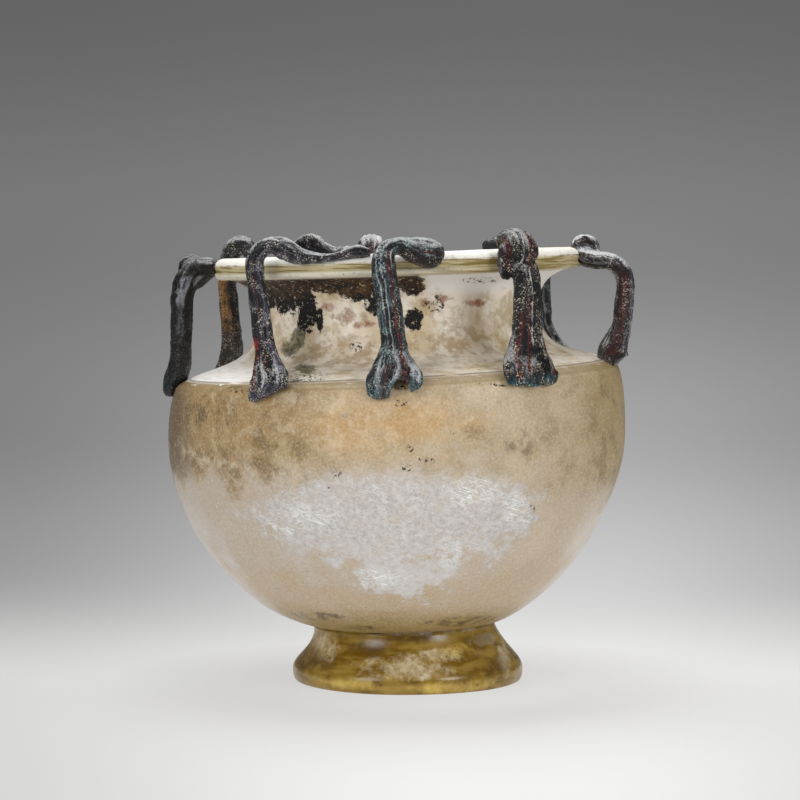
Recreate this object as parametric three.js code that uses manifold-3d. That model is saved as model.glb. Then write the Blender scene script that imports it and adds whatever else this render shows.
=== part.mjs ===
// Eight-handled vessel: a blown glass bowl on an applied splayed foot, with a short neck, a folded-out
// rim and eight ribbed trails of dark glass pulled up from the shoulder and laid over the rim.
// Millimetres, Z up. The front of the vessel faces -Y and its right-hand side faces +X.
import * as THREE from 'three';
import Module from 'manifold-3d';

const wasm = await Module();
wasm.setup();

// Sizes that drive everything else.
const BULGE_RADIUS = 55.2;
const BULGE_HEIGHT = 59.3;
const BOWL_FOOT_RADIUS = 21.9;
const BOWL_FOOT_HEIGHT = 13.9;
const SHOULDER_RADIUS = BULGE_RADIUS - 1.7;
const SHOULDER_HEIGHT = BULGE_HEIGHT + 14.2;
const RIM_RADIUS = 44.2;
const RIM_TOP = SHOULDER_HEIGHT + 29.9;
const RIM_BAND = 4.9;
const NECK_RADIUS = RIM_RADIUS - 10.2;
const NECK_HEIGHT = RIM_TOP - 12.9;
const WALL = 2.1;
const FLOOR = 3.2;
const FOOT_WAIST = BOWL_FOOT_RADIUS + 0.1;
const FOOT_RADIUS = FOOT_WAIST + 6;
const FOOT_WALL = 3.0;
const FOOT_EDGE = 0.9;
const FOOT_FLAT = 1.8;
const FOOT_DRIFT = 2.1;
const PONTIL_RADIUS = 6.5;
const JOINT_GAP = 0.3;
const HEEL_SINK = 0.85;

// How finely the curves are cut into flat faces.
const ROUND_STEPS = 44;
const TRAIL_SIDES = 16;
const TRAIL_RIBS = 4;
const RIB_DEPTH = 0.07;
const SHAFT_STEPS = 3;
const ARCH_STEPS = 8;
const NOTCH_REACH = 12;
const FULL_TURN = 360;

const GLASS_BODY = { color: 0xcdbb98, roughness: 0.42, metalness: 0 };
const GLASS_FOOT = { color: 0x9a8646, roughness: 0.25, metalness: 0 };
const GLASS_TRAIL = { color: 0x1c2230, roughness: 0.3, metalness: 0 };

// The outside of the bowl as curves, from the foot joint upwards. to: radius and height where a curve
// ends. leave, arrive: how far its two pulls lie along the way, outwards and upwards. steps: how many
// faces it is cut into.
const BOWL_CURVES = [
  { to: [BULGE_RADIUS, BULGE_HEIGHT], leave: [0.44, 0.06], arrive: [1, 0.55], steps: 9 },
  { to: [SHOULDER_RADIUS, SHOULDER_HEIGHT], leave: [0, 0.42], arrive: [0.3, 0.79], steps: 3 },
  { to: [SHOULDER_RADIUS - 2.9, SHOULDER_HEIGHT + 2], leave: [0.2, 0.5], arrive: [0.6, 0.75], steps: 2 },
  { to: [NECK_RADIUS + 4.4, SHOULDER_HEIGHT + 6.4], leave: [0.33, 0.41], arrive: [0.75, 0.57], steps: 4 },
  { to: [NECK_RADIUS, NECK_HEIGHT], leave: [0.59, 0.17], arrive: [1, 0.43], steps: 4 },
  { to: [RIM_RADIUS - 2.6, RIM_TOP - RIM_BAND], leave: [0, 0.55], arrive: [0.34, 0.88], steps: 4 },
];

// The soft glass sagged while it was worked. Each row: height, sideways shift, rise per mm to the
// right, rise per mm to the back.
const SAG = [
  [0, FOOT_DRIFT, 0, 0],
  [8, FOOT_DRIFT, 0.012, 0],
  [20, 0, 0.022, 0],
  [40, -0.7, 0.02, 0],
  [BULGE_HEIGHT, -0.55, 0.022, -0.004],
  [SHOULDER_HEIGHT + 1.6, -0.45, 0.052, -0.008],
  [RIM_TOP - RIM_BAND, -0.15, 0.034, -0.012],
  [RIM_TOP + RIM_BAND, -0.15, 0.034, -0.012],
];

// The splayed foot that every handle stands on the shoulder's edge with. Each row: distance outside
// the edge, height above it, share of the splay, share of the shaft's thickness.
const SPLAY = [
  [1.5, 0, 0.6, 0.5],
  [1.4, 0.8, 0.94, 0.78],
  [0.5, 2.1, 1, 0.93],
  [-0.9, 4.3, 0.74, 1],
  [-1.8, 7.1, 0.38, 1],
  [-2.2, 10.2, 0.13, 1],
];

// The handles, each pulled by hand, so no two are alike. Turns are degrees round from the front.
// root, waist: where the foot and the narrow of the shaft stand. lap: how far the toes hang over the
// shoulder's edge. slope: how fast the toes rise towards the right. stand: how far the shaft stands
// off from the usual line. heel: thickness added at the foot. toe, shaft, depth: width of the foot,
// width and thickness of the shaft. bays: gaps between toes, as [turn from the root, height, radius].
// crown: the glass laid over the rim, as [turn, distance outside the rim, height above it, width,
// thickness]. extra: further strands laid the same way.
const HANDLES = {
  handle_front_center: {
    root: -0.6, waist: -0.9, lap: 2.0, slope: 0.22, stand: 0.2,
    heel: 0, toe: 13.6, shaft: 5.0, depth: 4.4,
    bays: [[1.4, -0.5, 2.4]],
    crown: [
      [-3.9, 5.6, -2.0, 6.0, 4.5], [-2.9, 4.2, 0.9, 4.8, 4.5], [0.3, 2.8, 1.7, 4.3, 4.8],
      [3.9, 1.8, 0.8, 6.8, 5.4], [8.5, 1.2, -0.1, 7.9, 6.2], [11.9, 0.8, -0.4, 5.8, 5.0],
      [13.4, 0.7, -0.6, 2.6, 2.6],
    ],
    extra: [],
  },
  handle_front_left: {
    root: -32.8, waist: -36.2, lap: 1.2, slope: 0.45, stand: 0.1,
    heel: 0, toe: 10.8, shaft: 4.6, depth: 4.4,
    bays: [],
    crown: [
      [-40.9, 6.1, -3.2, 4.9, 4.5], [-41.1, 5.4, 0.4, 4.7, 4.5], [-38.0, 4.2, 2.8, 4.2, 4.5],
      [-34.2, 2.8, 2.1, 5.5, 4.6], [-30.6, 1.8, 0.6, 5.0, 4.4], [-27.0, 1.2, -0.1, 3.4, 3.8],
      [-22.6, 0.8, -0.4, 2.4, 3.2], [-18.6, 0.5, -0.2, 2.2, 3.2], [-15.4, 0, 0.4, 2.8, 3.8],
      [-12.4, -0.6, 0.8, 3.4, 4.6], [-9.6, -1.0, 0.5, 2.6, 3.8], [-8.1, -1.2, 0.2, 1.2, 2.0],
    ],
    extra: [[
      [-12.2, -1.6, 0.8, 2.4, 2.6], [-16.4, -2.4, 0.9, 2.8, 3.0], [-20.6, -3.0, 0.8, 2.8, 3.0],
      [-24.2, -3.3, 1.9, 2.8, 3.2], [-27.2, -3.5, 3.6, 2.8, 3.2], [-30.4, -3.6, 4.2, 2.8, 3.2],
      [-33.6, -3.4, 3.1, 2.8, 3.2], [-36.2, -3.0, 0.9, 2.8, 3.2], [-37.6, -2.6, -0.4, 2.6, 2.6],
    ], [
      [-25.0, -3.2, 0.6, 1.8, 1.6], [-27.6, -3.4, 1.5, 3.4, 2.0], [-30.6, -3.5, 1.8, 4.4, 2.0],
      [-33.6, -3.4, 1.3, 3.4, 2.0],
    ]],
  },
  handle_front_right: {
    root: 34.2, waist: 35.3, lap: 1.8, slope: 0, stand: 0.2,
    heel: 0, toe: 15.6, shaft: 7.5, depth: 4.9,
    bays: [[-3.2, -2.0, 1.4], [2.4, -2.2, 1.4]],
    crown: [
      [35.7, 6.4, -8.6, 7.4, 4.9], [36.0, 5.2, -5.2, 7.6, 5.0], [36.5, 3.2, -2.9, 7.4, 4.2],
    ],
    extra: [[
      [35.6, 5.3, -3.2, 4.4, 2.6], [35.6, 5.2, -1.7, 8.0, 4.4], [35.8, 4.4, 0.4, 8.6, 5.6],
      [36.2, 2.6, 1.9, 8.4, 5.8], [37.0, 0.2, 2.3, 8.0, 5.2], [38.4, -2.4, 2.2, 7.2, 4.6],
      [39.6, -4.4, 1.0, 5.8, 3.8], [40.2, -5.2, -0.8, 4.0, 2.6],
    ], [
      [31.4, 1.9, 1.4, 2.6, 2.4], [31.2, 2.6, -1.2, 3.8, 3.4], [31.6, 2.6, -4.4, 3.8, 3.2],
      [32.8, 2.2, -6.8, 2.8, 2.4],
    ]],
  },
  handle_right: {
    root: 80.0, waist: 79.0, lap: -0.4, slope: 0, stand: 3.6,
    heel: 3.6, toe: 9.6, shaft: 5.4, depth: 4.6,
    bays: [],
    crown: [
      [79.0, 11.0, -9.6, 5.6, 4.6], [79.0, 10.3, -6.2, 5.8, 4.6], [79.2, 7.4, -3.7, 6.0, 4.4],
      [79.4, 4.2, -3.3, 6.2, 4.6], [79.6, 1.4, -2.6, 5.6, 4.6], [79.8, -0.6, -1.1, 4.8, 3.8],
    ],
    extra: [[
      [80.0, 0.7, -2.1, 4.8, 3.2], [80.2, -0.9, -0.7, 4.6, 3.0], [80.6, -0.8, 1.0, 4.4, 2.8],
      [81.0, 0.8, 1.8, 4.2, 2.8], [81.2, 2.6, 1.1, 3.8, 2.8], [81.4, 3.5, -0.5, 3.2, 2.4],
      [81.4, 3.7, -2.1, 2.4, 2.2],
    ]],
  },
  handle_back_right: {
    root: 131.2, waist: 134.0, lap: 1.8, slope: 0.1, stand: 0,
    heel: 0, toe: 10.2, shaft: 5.5, depth: 4.4,
    bays: [[-0.6, -1.8, 2.0]],
    crown: [
      [134.2, 6.4, -8.9, 5.6, 4.4], [133.8, 5.6, -5.0, 5.6, 4.5], [134.4, 3.8, -1.5, 5.2, 4.6],
      [138.0, 1.4, -0.3, 4.6, 4.6], [142.4, 0.2, 0.1, 4.2, 4.4], [146.0, -0.2, 1.1, 4.4, 4.2],
      [149.0, -0.4, 0.7, 3.6, 3.6], [150.6, -0.4, -0.1, 1.6, 2.0],
    ],
    extra: [],
  },
  handle_back_center: {
    root: -172.2, waist: -172.2, lap: 1.9, slope: -0.1, stand: 0.2,
    heel: 0, toe: 12.2, shaft: 5.7, depth: 4.4,
    bays: [[-0.6, -1.8, 2.1]],
    crown: [
      [-172.2, 6.4, -7.9, 5.8, 4.4], [-172.0, 6.0, -3.6, 6.2, 4.5], [-171.6, 4.7, 0.5, 6.6, 4.6],
      [-171.2, 2.1, 2.7, 6.8, 4.8], [-170.8, -0.3, 2.0, 6.4, 4.6], [-170.4, -1.4, -0.1, 5.0, 3.6],
      [-170.4, -1.5, -1.5, 3.4, 2.6],
    ],
    extra: [],
  },
  handle_back_left: {
    root: -127.2, waist: -125.6, lap: 1.8, slope: -0.1, stand: 0,
    heel: 0, toe: 9.8, shaft: 6.0, depth: 4.4,
    bays: [[-0.6, -2.0, 1.9]],
    crown: [
      [-122.6, 6.4, -9.1, 5.8, 4.4], [-121.2, 6.0, -4.9, 5.6, 4.5], [-120.6, 5.0, -0.4, 5.6, 4.6],
      [-120.8, 2.8, 2.9, 5.8, 4.8], [-121.6, 0.4, 2.9, 5.4, 4.6], [-122.2, -1.0, 0.4, 4.4, 3.6],
      [-122.4, -1.3, -1.3, 3.2, 2.6],
    ],
    extra: [],
  },
  handle_left: {
    root: -91.0, waist: -90.0, lap: 2.4, slope: 0, stand: 1.2,
    heel: 0.6, toe: 9.8, shaft: 6.1, depth: 5.4,
    bays: [[-1.0, -2.4, 1.7]],
    crown: [
      [-90.0, 8.0, -8.6, 6.0, 5.9], [-90.2, 7.0, -4.6, 6.4, 5.9], [-90.6, 5.0, -2.0, 6.8, 5.4],
      [-91.0, 2.4, -1.9, 7.0, 5.0], [-91.2, 0.2, -1.9, 6.4, 4.8], [-91.2, -1.2, -1.5, 4.6, 3.6],
    ],
    extra: [[
      [-92.2, 3.2, -0.2, 2.4, 1.8], [-92.0, 5.0, 0, 3.4, 2.6], [-91.8, 6.6, -0.1, 3.6, 3.0],
      [-91.6, 7.9, -1.1, 3.2, 2.8], [-91.4, 8.3, -2.5, 2.2, 2.0],
    ], [
      [-90.4, 5.6, -6.6, 3.4, 2.6], [-90.6, 3.8, -5.0, 4.4, 3.4], [-90.8, 2.0, -3.4, 4.8, 3.6],
      [-91.0, 0.6, -1.8, 4.4, 3.0],
    ]],
  },
};

// One column of the sag table at a given height, eased from row to row.
function sagAt(height, column) {
  const last = SAG.length - 1;
  if (height <= SAG[0][0]) return SAG[0][column];
  if (height >= SAG[last][0]) return SAG[last][column];
  const row = SAG.findIndex((entry) => entry[0] > height) - 1;
  const share = THREE.MathUtils.smoothstep(height, SAG[row][0], SAG[row + 1][0]);
  return THREE.MathUtils.lerp(SAG[row][column], SAG[row + 1][column], share);
}

// A point given round the axis, put where the sagged glass ended up.
function settle(turn, out, height) {
  const angle = THREE.MathUtils.degToRad(turn);
  const x = out * Math.sin(angle);
  const y = -out * Math.cos(angle);
  const rise = sagAt(height, 2) * x + sagAt(height, 3) * y;
  return new THREE.Vector3(x + sagAt(height, 1), y, height + rise);
}

// A closed skin over rings of points with the same count. Open ends get a fan of triangles.
function skin(rings, endless) {
  const count = rings[0].length;
  const points = rings.flat();
  const faces = [];
  const spans = endless ? rings.length : rings.length - 1;
  for (let i = 0; i < spans; i += 1) {
    const low = i * count;
    const high = ((i + 1) % rings.length) * count;
    for (let k = 0; k < count; k += 1) {
      const next = (k + 1) % count;
      faces.push([low + k, low + next, high + next], [low + k, high + next, high + k]);
    }
  }
  if (!endless) {
    [0, rings.length - 1].forEach((index) => {
      const middle = new THREE.Vector3();
      rings[index].forEach((point) => middle.addScaledVector(point, 1 / count));
      points.push(middle);
      const hub = points.length - 1;
      for (let k = 0; k < count; k += 1) {
        const a = index * count + k;
        const b = index * count + ((k + 1) % count);
        faces.push(index === 0 ? [hub, b, a] : [hub, a, b]);
      }
    });
  }
  return solid(points, faces);
}

// A solid from points and triangles, turned the right way out.
function solid(points, faces) {
  let volume = 0;
  const across = new THREE.Vector3();
  faces.forEach(([a, b, c]) => {
    volume += points[a].dot(across.crossVectors(points[b], points[c]));
  });
  const facing = volume > 0 ? faces : faces.map(([a, b, c]) => [a, c, b]);
  const vertProperties = new Float32Array(points.flatMap((point) => point.toArray()));
  const triVerts = new Uint32Array(facing.flat());
  return new wasm.Manifold(new wasm.Mesh({ numProp: 3, vertProperties, triVerts }));
}

// Rings of a profile turned round the axis. Profile points are Vector2(radius, height).
function turned(profile, endless) {
  const rings = profile.map((point) => {
    const ring = [];
    for (let k = 0; k < ROUND_STEPS; k += 1) {
      ring.push(settle((FULL_TURN * k) / ROUND_STEPS, point.x, point.y));
    }
    return ring;
  });
  return skin(rings, endless);
}

// The profile moved sideways along its own normal, to the left of its direction of travel.
function beside(profile, distance) {
  return profile.map((point, index) => {
    const before = profile[Math.max(index - 1, 0)];
    const after = profile[Math.min(index + 1, profile.length - 1)];
    const along = new THREE.Vector2().subVectors(after, before).normalize();
    return new THREE.Vector2(point.x - along.y * distance, point.y + along.x * distance);
  });
}

// Outside of the blown bowl from the foot joint up to the underside of the rim.
function bowlOutside() {
  let start = new THREE.Vector2(BOWL_FOOT_RADIUS, BOWL_FOOT_HEIGHT);
  const points = [start];
  BOWL_CURVES.forEach(({ to, leave, arrive, steps }) => {
    const from = start;
    const end = new THREE.Vector2(...to);
    const way = end.clone().sub(from);
    const pulls = [leave, arrive].map((share) => new THREE.Vector2(...share).multiply(way).add(from));
    points.push(...new THREE.CubicBezierCurve(from, ...pulls, end).getPoints(steps).slice(1));
    start = end;
  });
  return points;
}

// The rim: the lip was folded outwards, so it ends in a thick rounded band with a crease round it.
function rimBand(grow) {
  const low = RIM_TOP - RIM_BAND;
  return [
    [RIM_RADIUS - 0.8 + grow * 0.7, low + 0.1 - grow * 0.7],
    [RIM_RADIUS + grow, low + 1.0],
    [RIM_RADIUS - 0.3 + grow, low + 1.9],
    [RIM_RADIUS + 0.1 + grow, low + 2.7],
    [RIM_RADIUS - 0.6 + grow * 0.7, RIM_TOP - 0.3 + grow * 0.7],
    [RIM_RADIUS - 2.2, RIM_TOP + grow],
    [RIM_RADIUS - 3.7 - grow * 0.7, RIM_TOP - 0.6 + grow * 0.7],
  ].map(([radius, height]) => new THREE.Vector2(radius, height));
}

// The whole bowl wall as one closed profile. Growing it by the joint gap gives the shape that other
// pieces are cut clear of.
function bowlProfile(grow) {
  const outside = bowlOutside();
  const inside = beside(outside, WALL).filter((point, index) => index === 0 || index % 2 === 1);
  const inner = inside.reverse().filter((point) => point.y < RIM_TOP - RIM_BAND - 1.5);
  const floorTop = BOWL_FOOT_HEIGHT - 0.7 + FLOOR;
  const under = [
    [1.6, BOWL_FOOT_HEIGHT - 1.6],
    [PONTIL_RADIUS - 1.4, BOWL_FOOT_HEIGHT - 1.4],
    [PONTIL_RADIUS, BOWL_FOOT_HEIGHT - 2.1],
    [PONTIL_RADIUS + 1.2, BOWL_FOOT_HEIGHT - 1.0],
  ].map(([radius, height]) => new THREE.Vector2(radius, height - grow));
  const top = inner.slice(0, -2).map((point) => new THREE.Vector2(point.x - grow, point.y + grow * 0.3));
  const floor = [
    new THREE.Vector2(BOWL_FOOT_RADIUS - 4, floorTop + 1.2 + grow),
    new THREE.Vector2(BOWL_FOOT_RADIUS - 12, floorTop + 0.2 + grow),
    new THREE.Vector2(2, floorTop + grow),
  ];
  return [...under, ...beside(outside, -grow), ...rimBand(grow), ...top, ...floor];
}

// The foot: a thick cone pushed on under the bowl, hollow below, with a rounded lower edge.
function footProfile() {
  const rest = FOOT_RADIUS - FOOT_EDGE;
  const outside = [
    [FOOT_WAIST, BOWL_FOOT_HEIGHT + 3],
    [FOOT_WAIST, BOWL_FOOT_HEIGHT - 1.4],
    [FOOT_WAIST + 0.6, BOWL_FOOT_HEIGHT * 0.73],
    [FOOT_WAIST + 2.2, BOWL_FOOT_HEIGHT * 0.57],
    [FOOT_WAIST + 4.9, BOWL_FOOT_HEIGHT * 0.38],
    [FOOT_RADIUS - 0.3, 3.4],
    [FOOT_RADIUS, 1.7],
    [FOOT_RADIUS - 0.2, 0.6],
    [rest, 0],
  ];
  const inside = [
    [rest - FOOT_FLAT, 0],
    [rest - FOOT_FLAT - 0.9, 0.8],
    [FOOT_RADIUS - FOOT_WALL - 2.2, BOWL_FOOT_HEIGHT * 0.24],
    [FOOT_WAIST + 1.6 - FOOT_WALL, BOWL_FOOT_HEIGHT * 0.46],
    [FOOT_WAIST - FOOT_WALL - 0.4, BOWL_FOOT_HEIGHT * 0.68],
    [FOOT_WAIST - FOOT_WALL - 1.2, BOWL_FOOT_HEIGHT + 3],
  ];
  return [...outside, ...inside].map(([radius, height]) => new THREE.Vector2(radius, height));
}

// Outline of a trail: a flattened round with ribs drawn along it.
function trailSection(middle, wide, thick, [width, thickness, lift = 0]) {
  const ring = [];
  for (let k = 0; k < TRAIL_SIDES; k += 1) {
    const angle = (2 * Math.PI * k) / TRAIL_SIDES;
    const rib = 1 + RIB_DEPTH * Math.cos(TRAIL_RIBS * angle);
    const sideways = 0.5 * width * rib * Math.cos(angle);
    const point = middle.clone();
    point.addScaledVector(wide, sideways);
    point.addScaledVector(thick, 0.5 * thickness * rib * Math.sin(angle));
    point.z += lift * sideways;
    ring.push(point);
  }
  return ring;
}

// Stations of the foot and shaft of a handle, as [turn, distance from the axis, height, width,
// thickness, rise towards the right], up to where its crown begins.
function shaftStations({ root, waist, lap, slope, stand, heel, toe, shaft, depth, crown }) {
  const lastToe = SPLAY.length - 1;
  const foot = SPLAY.map(([outside, above, spread, share], index) => {
    const low = Math.max(1 - index / 2, 0);
    return [
      THREE.MathUtils.lerp(root, waist, Math.max(index - 2, 0) / (lastToe - 2)),
      SHOULDER_RADIUS + outside + (stand * index) / lastToe - HEEL_SINK * heel * spread,
      SHOULDER_HEIGHT + above - lap * low,
      shaft + (toe - shaft) * spread,
      depth * share + heel * spread,
      slope * (low + Math.max(1 - index / 4, 0)) * 0.5,
    ];
  });
  const from = foot[lastToe];
  const to = [...onRim(crown[0]), 0];
  const rise = [];
  for (let k = 1; k < SHAFT_STEPS; k += 1) {
    rise.push(from.map((value, column) => THREE.MathUtils.lerp(value, to[column], k / SHAFT_STEPS)));
  }
  return [...foot, ...rise];
}

// A station given from the rim, measured from the axis and the table instead.
function onRim([turn, outside, above, width, thickness]) {
  return [turn, RIM_RADIUS + outside, RIM_TOP + above, width, thickness];
}

// A strand of trailed glass drawn along its stations, with its flat side kept towards the vessel.
function strand(stations) {
  const path = new THREE.CatmullRomCurve3(stations.map(([turn, out, up]) => settle(turn, out, up)));
  const start = THREE.MathUtils.degToRad(stations[0][0]);
  let thick = new THREE.Vector3(Math.sin(start), -Math.cos(start), 0);
  const rings = stations.map((station, index) => {
    const share = index / (stations.length - 1);
    const along = path.getTangent(share);
    thick = thick.addScaledVector(along, -thick.dot(along)).normalize();
    const wide = new THREE.Vector3().crossVectors(along, thick);
    return trailSection(path.getPoint(share), wide, thick, station.slice(3));
  });
  return skin(rings, false);
}

// A bay between two toes: an arch cut straight in towards the axis and open below.
function notch(turn, height, radius) {
  const crown = settle(turn, SHOULDER_RADIUS, height);
  const angle = THREE.MathUtils.degToRad(turn);
  const inward = new THREE.Vector3(-Math.sin(angle), Math.cos(angle), 0);
  const sideways = new THREE.Vector3(Math.cos(angle), Math.sin(angle), 0);
  const arch = [];
  for (let k = 0; k <= ARCH_STEPS; k += 1) {
    const sweep = (Math.PI * k) / ARCH_STEPS;
    arch.push([radius * Math.cos(sweep), radius * Math.sin(sweep)]);
  }
  arch.push([-radius * 1.4, -radius * 3], [radius * 1.4, -radius * 3]);
  const rings = [-NOTCH_REACH, NOTCH_REACH].map((depth) => arch.map(([side, up]) => {
    const point = crown.clone().addScaledVector(sideways, side).addScaledVector(inward, depth);
    return point.setZ(crown.z + up);
  }));
  return skin(rings, false);
}

// A named mesh of its own material from a finished solid.
function piece(name, shape, look) {
  const mesh = shape.getMesh();
  const geometry = new THREE.BufferGeometry();
  geometry.setAttribute('position', new THREE.BufferAttribute(new Float32Array(mesh.vertProperties), 3));
  geometry.setIndex(new THREE.BufferAttribute(new Uint32Array(mesh.triVerts), 1));
  const body = new THREE.Mesh(geometry, new THREE.MeshStandardMaterial(look));
  body.name = name;
  return body;
}

const vessel = new THREE.Group();
vessel.name = 'eight_handled_vessel';
const clearance = turned(bowlProfile(JOINT_GAP), false);
const hollow = turned(bowlOutside().filter((point) => point.y < NECK_HEIGHT), false);

vessel.add(piece('vessel_body', turned(bowlProfile(0), false), GLASS_BODY));
vessel.add(piece('foot_ring', turned(footProfile(), true).subtract(clearance), GLASS_FOOT));

Object.entries(HANDLES).forEach(([name, handle]) => {
  let shape = strand([...shaftStations(handle), ...handle.crown.map(onRim)]);
  handle.extra.forEach((laid) => {
    shape = shape.add(strand(laid.map(onRim)));
  });
  handle.bays.forEach(([turn, above, radius]) => {
    shape = shape.subtract(notch(handle.root + turn, SHOULDER_HEIGHT + above, radius));
  });
  vessel.add(piece(name, shape.subtract(clearance).subtract(hollow), GLASS_TRAIL));
});

// The frame's origin is under the middle of the whole vessel.
const extent = new THREE.Box3().setFromObject(vessel);
const middle = extent.getCenter(new THREE.Vector3());
vessel.children.forEach((child) => {
  child.geometry.translate(-middle.x, -middle.y, -extent.min.z);
});

export default vessel;
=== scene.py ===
# %% [markdown]
# # A late-Roman glass bowl with eight trailed handles
#
# The vessel is blown: one bubble of pale glass makes the belly, the shoulder and the neck, and its
# lip is folded out into a thick rim. A cone of olive glass is pushed on as a foot. Eight trails of
# nearly black glass are then dropped on the shoulder, pulled up and laid over the rim. Centuries
# in the ground have left a milky skin, flaking silver patches and a brown crust.
#
# The CAD model holds the sizes. This lesson replaces each of its pieces with a finer one in the same
# place, and gives each its weathered finish. Everything is worked out in millimetres and turned into
# metres at the last step.

# %% Load the frame
import math

import bmesh
import bpy
from mathutils import Matrix, Vector, kdtree, noise


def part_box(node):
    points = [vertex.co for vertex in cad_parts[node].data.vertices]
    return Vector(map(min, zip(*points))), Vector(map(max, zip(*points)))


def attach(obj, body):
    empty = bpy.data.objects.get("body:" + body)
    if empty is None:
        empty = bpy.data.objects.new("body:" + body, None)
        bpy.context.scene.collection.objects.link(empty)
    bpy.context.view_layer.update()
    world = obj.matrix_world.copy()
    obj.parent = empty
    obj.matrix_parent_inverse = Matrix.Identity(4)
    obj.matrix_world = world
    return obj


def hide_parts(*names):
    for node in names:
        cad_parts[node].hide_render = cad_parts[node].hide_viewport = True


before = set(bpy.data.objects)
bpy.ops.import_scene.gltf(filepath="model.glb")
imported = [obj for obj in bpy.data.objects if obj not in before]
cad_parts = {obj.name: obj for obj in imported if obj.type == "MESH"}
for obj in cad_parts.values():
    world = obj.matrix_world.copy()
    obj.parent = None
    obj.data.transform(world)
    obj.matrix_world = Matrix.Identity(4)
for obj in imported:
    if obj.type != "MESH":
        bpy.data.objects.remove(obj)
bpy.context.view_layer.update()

MM = 0.001
FOOT_DRIFT = 2.1
foot_low, foot_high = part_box("foot_ring")
AXIS = Vector(((foot_low.x + foot_high.x) / 2 / MM - FOOT_DRIFT, (foot_low.y + foot_high.y) / 2 / MM, 0))
print("the bowl's axis stands at", [round(value, 2) for value in AXIS], "mm")

# %% [markdown]
# ## The camera
#
# A long lens from three quarters of a metre looks slightly down on the vessel. The camera comes
# first, so that every later step can be judged through it.

# %% The camera
EYE_ASIDE, EYE_BACK, EYE_HEIGHT = 0.24, 750, 115.3
AIM_HEIGHT = 67.8
PHOTO_SIDE = 800
FOCAL_PIXELS = 3101

eye = AXIS + Vector((EYE_ASIDE, -EYE_BACK, EYE_HEIGHT))
aim = AXIS + Vector((EYE_ASIDE, 0, AIM_HEIGHT))
camera = bpy.data.objects.new("camera", bpy.data.cameras.new("camera"))
bpy.context.collection.objects.link(camera)
camera.data.sensor_width = 36
camera.data.lens = camera.data.sensor_width * FOCAL_PIXELS / PHOTO_SIDE
camera.data.clip_start = 0.01
camera.location = eye * MM
camera.rotation_euler = (aim - eye).to_track_quat("-Z", "Y").to_euler()
bpy.context.scene.camera = camera
print("lens of", round(camera.data.lens, 1), "mm")

# %% [markdown]
# ## How the soft glass sagged
#
# Blown glass is never quite true. The foot sits a little to the right of the axis, and shoulder and
# rim rise to the right. One function puts any point, given round the axis, where the glass ended up,
# so that the bowl, the foot and the handles all lean together.

# %% The sizes that everything hangs on
BULGE_RADIUS, BULGE_HEIGHT = 55.2, 59.3
BOWL_FOOT_RADIUS, BOWL_FOOT_HEIGHT = 21.9, 13.9
SHOULDER_RADIUS, SHOULDER_HEIGHT = BULGE_RADIUS - 1.7, BULGE_HEIGHT + 14.2
RIM_RADIUS, RIM_TOP, RIM_BAND = 44.2, SHOULDER_HEIGHT + 29.9, 4.9
NECK_RADIUS, NECK_HEIGHT = RIM_RADIUS - 10.2, RIM_TOP - 12.9

# Each row: height, sideways shift, rise per mm to the right, rise per mm to the back.
SAG = [
    (0, FOOT_DRIFT, 0, 0),
    (8, FOOT_DRIFT, 0.012, 0),
    (20, 0, 0.022, 0),
    (40, -0.7, 0.02, 0),
    (BULGE_HEIGHT, -0.55, 0.022, -0.004),
    (SHOULDER_HEIGHT + 1.6, -0.45, 0.052, -0.008),
    (RIM_TOP - RIM_BAND, -0.15, 0.034, -0.012),
    (RIM_TOP + RIM_BAND, -0.15, 0.034, -0.012),
]


def sag_at(height):
    """Shift, rise to the right and rise to the back at one height, eased between the rows."""
    if height <= SAG[0][0]:
        return SAG[0][1:]
    for low, high in zip(SAG, SAG[1:]):
        if height < high[0]:
            share = (height - low[0]) / (high[0] - low[0])
            share = share * share * (3 - 2 * share)
            return tuple(a + (b - a) * share for a, b in zip(low[1:], high[1:]))
    return SAG[-1][1:]


def settle(turn, out, height):
    """A point given by degrees round from the front, distance from the axis and height."""
    angle = math.radians(turn)
    x, y = out * math.sin(angle), -out * math.cos(angle)
    shift, right, back = sag_at(height)
    return AXIS + Vector((x + shift, y, height + right * x + back * y))


print("the rim's front stands at", [round(value, 1) for value in settle(0, RIM_RADIUS, RIM_TOP)])

# %% [markdown]
# ## Turned glass
#
# The bowl and the foot are both turned forms, so each starts as half of its outline. The outline is
# drawn with a few curves, spun round the axis with bmesh's spin, and then every point is settled.

# %% Helpers for turned pieces
def bend(steps, start, leave, arrive, end):
    """Points of one cubic curve, without its first. Its pulls are shares of the way, out and up."""
    start, end = Vector(start), Vector(end)
    way = end - start
    first, second = (start + way * Vector(share) for share in (leave, arrive))
    points = []
    for step in range(1, steps + 1):
        t = step / steps
        s = 1 - t
        points.append(start * s**3 + first * 3 * s * s * t + second * 3 * s * t * t + end * t**3)
    return points


def beside(points, distance):
    """The outline moved sideways, to the left of its direction of travel."""
    moved = []
    for index, point in enumerate(points):
        before = points[max(index - 1, 0)]
        after = points[min(index + 1, len(points) - 1)]
        along = (after - before).normalized()
        moved.append(point + Vector((-along.y, along.x)) * distance)
    return moved


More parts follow.
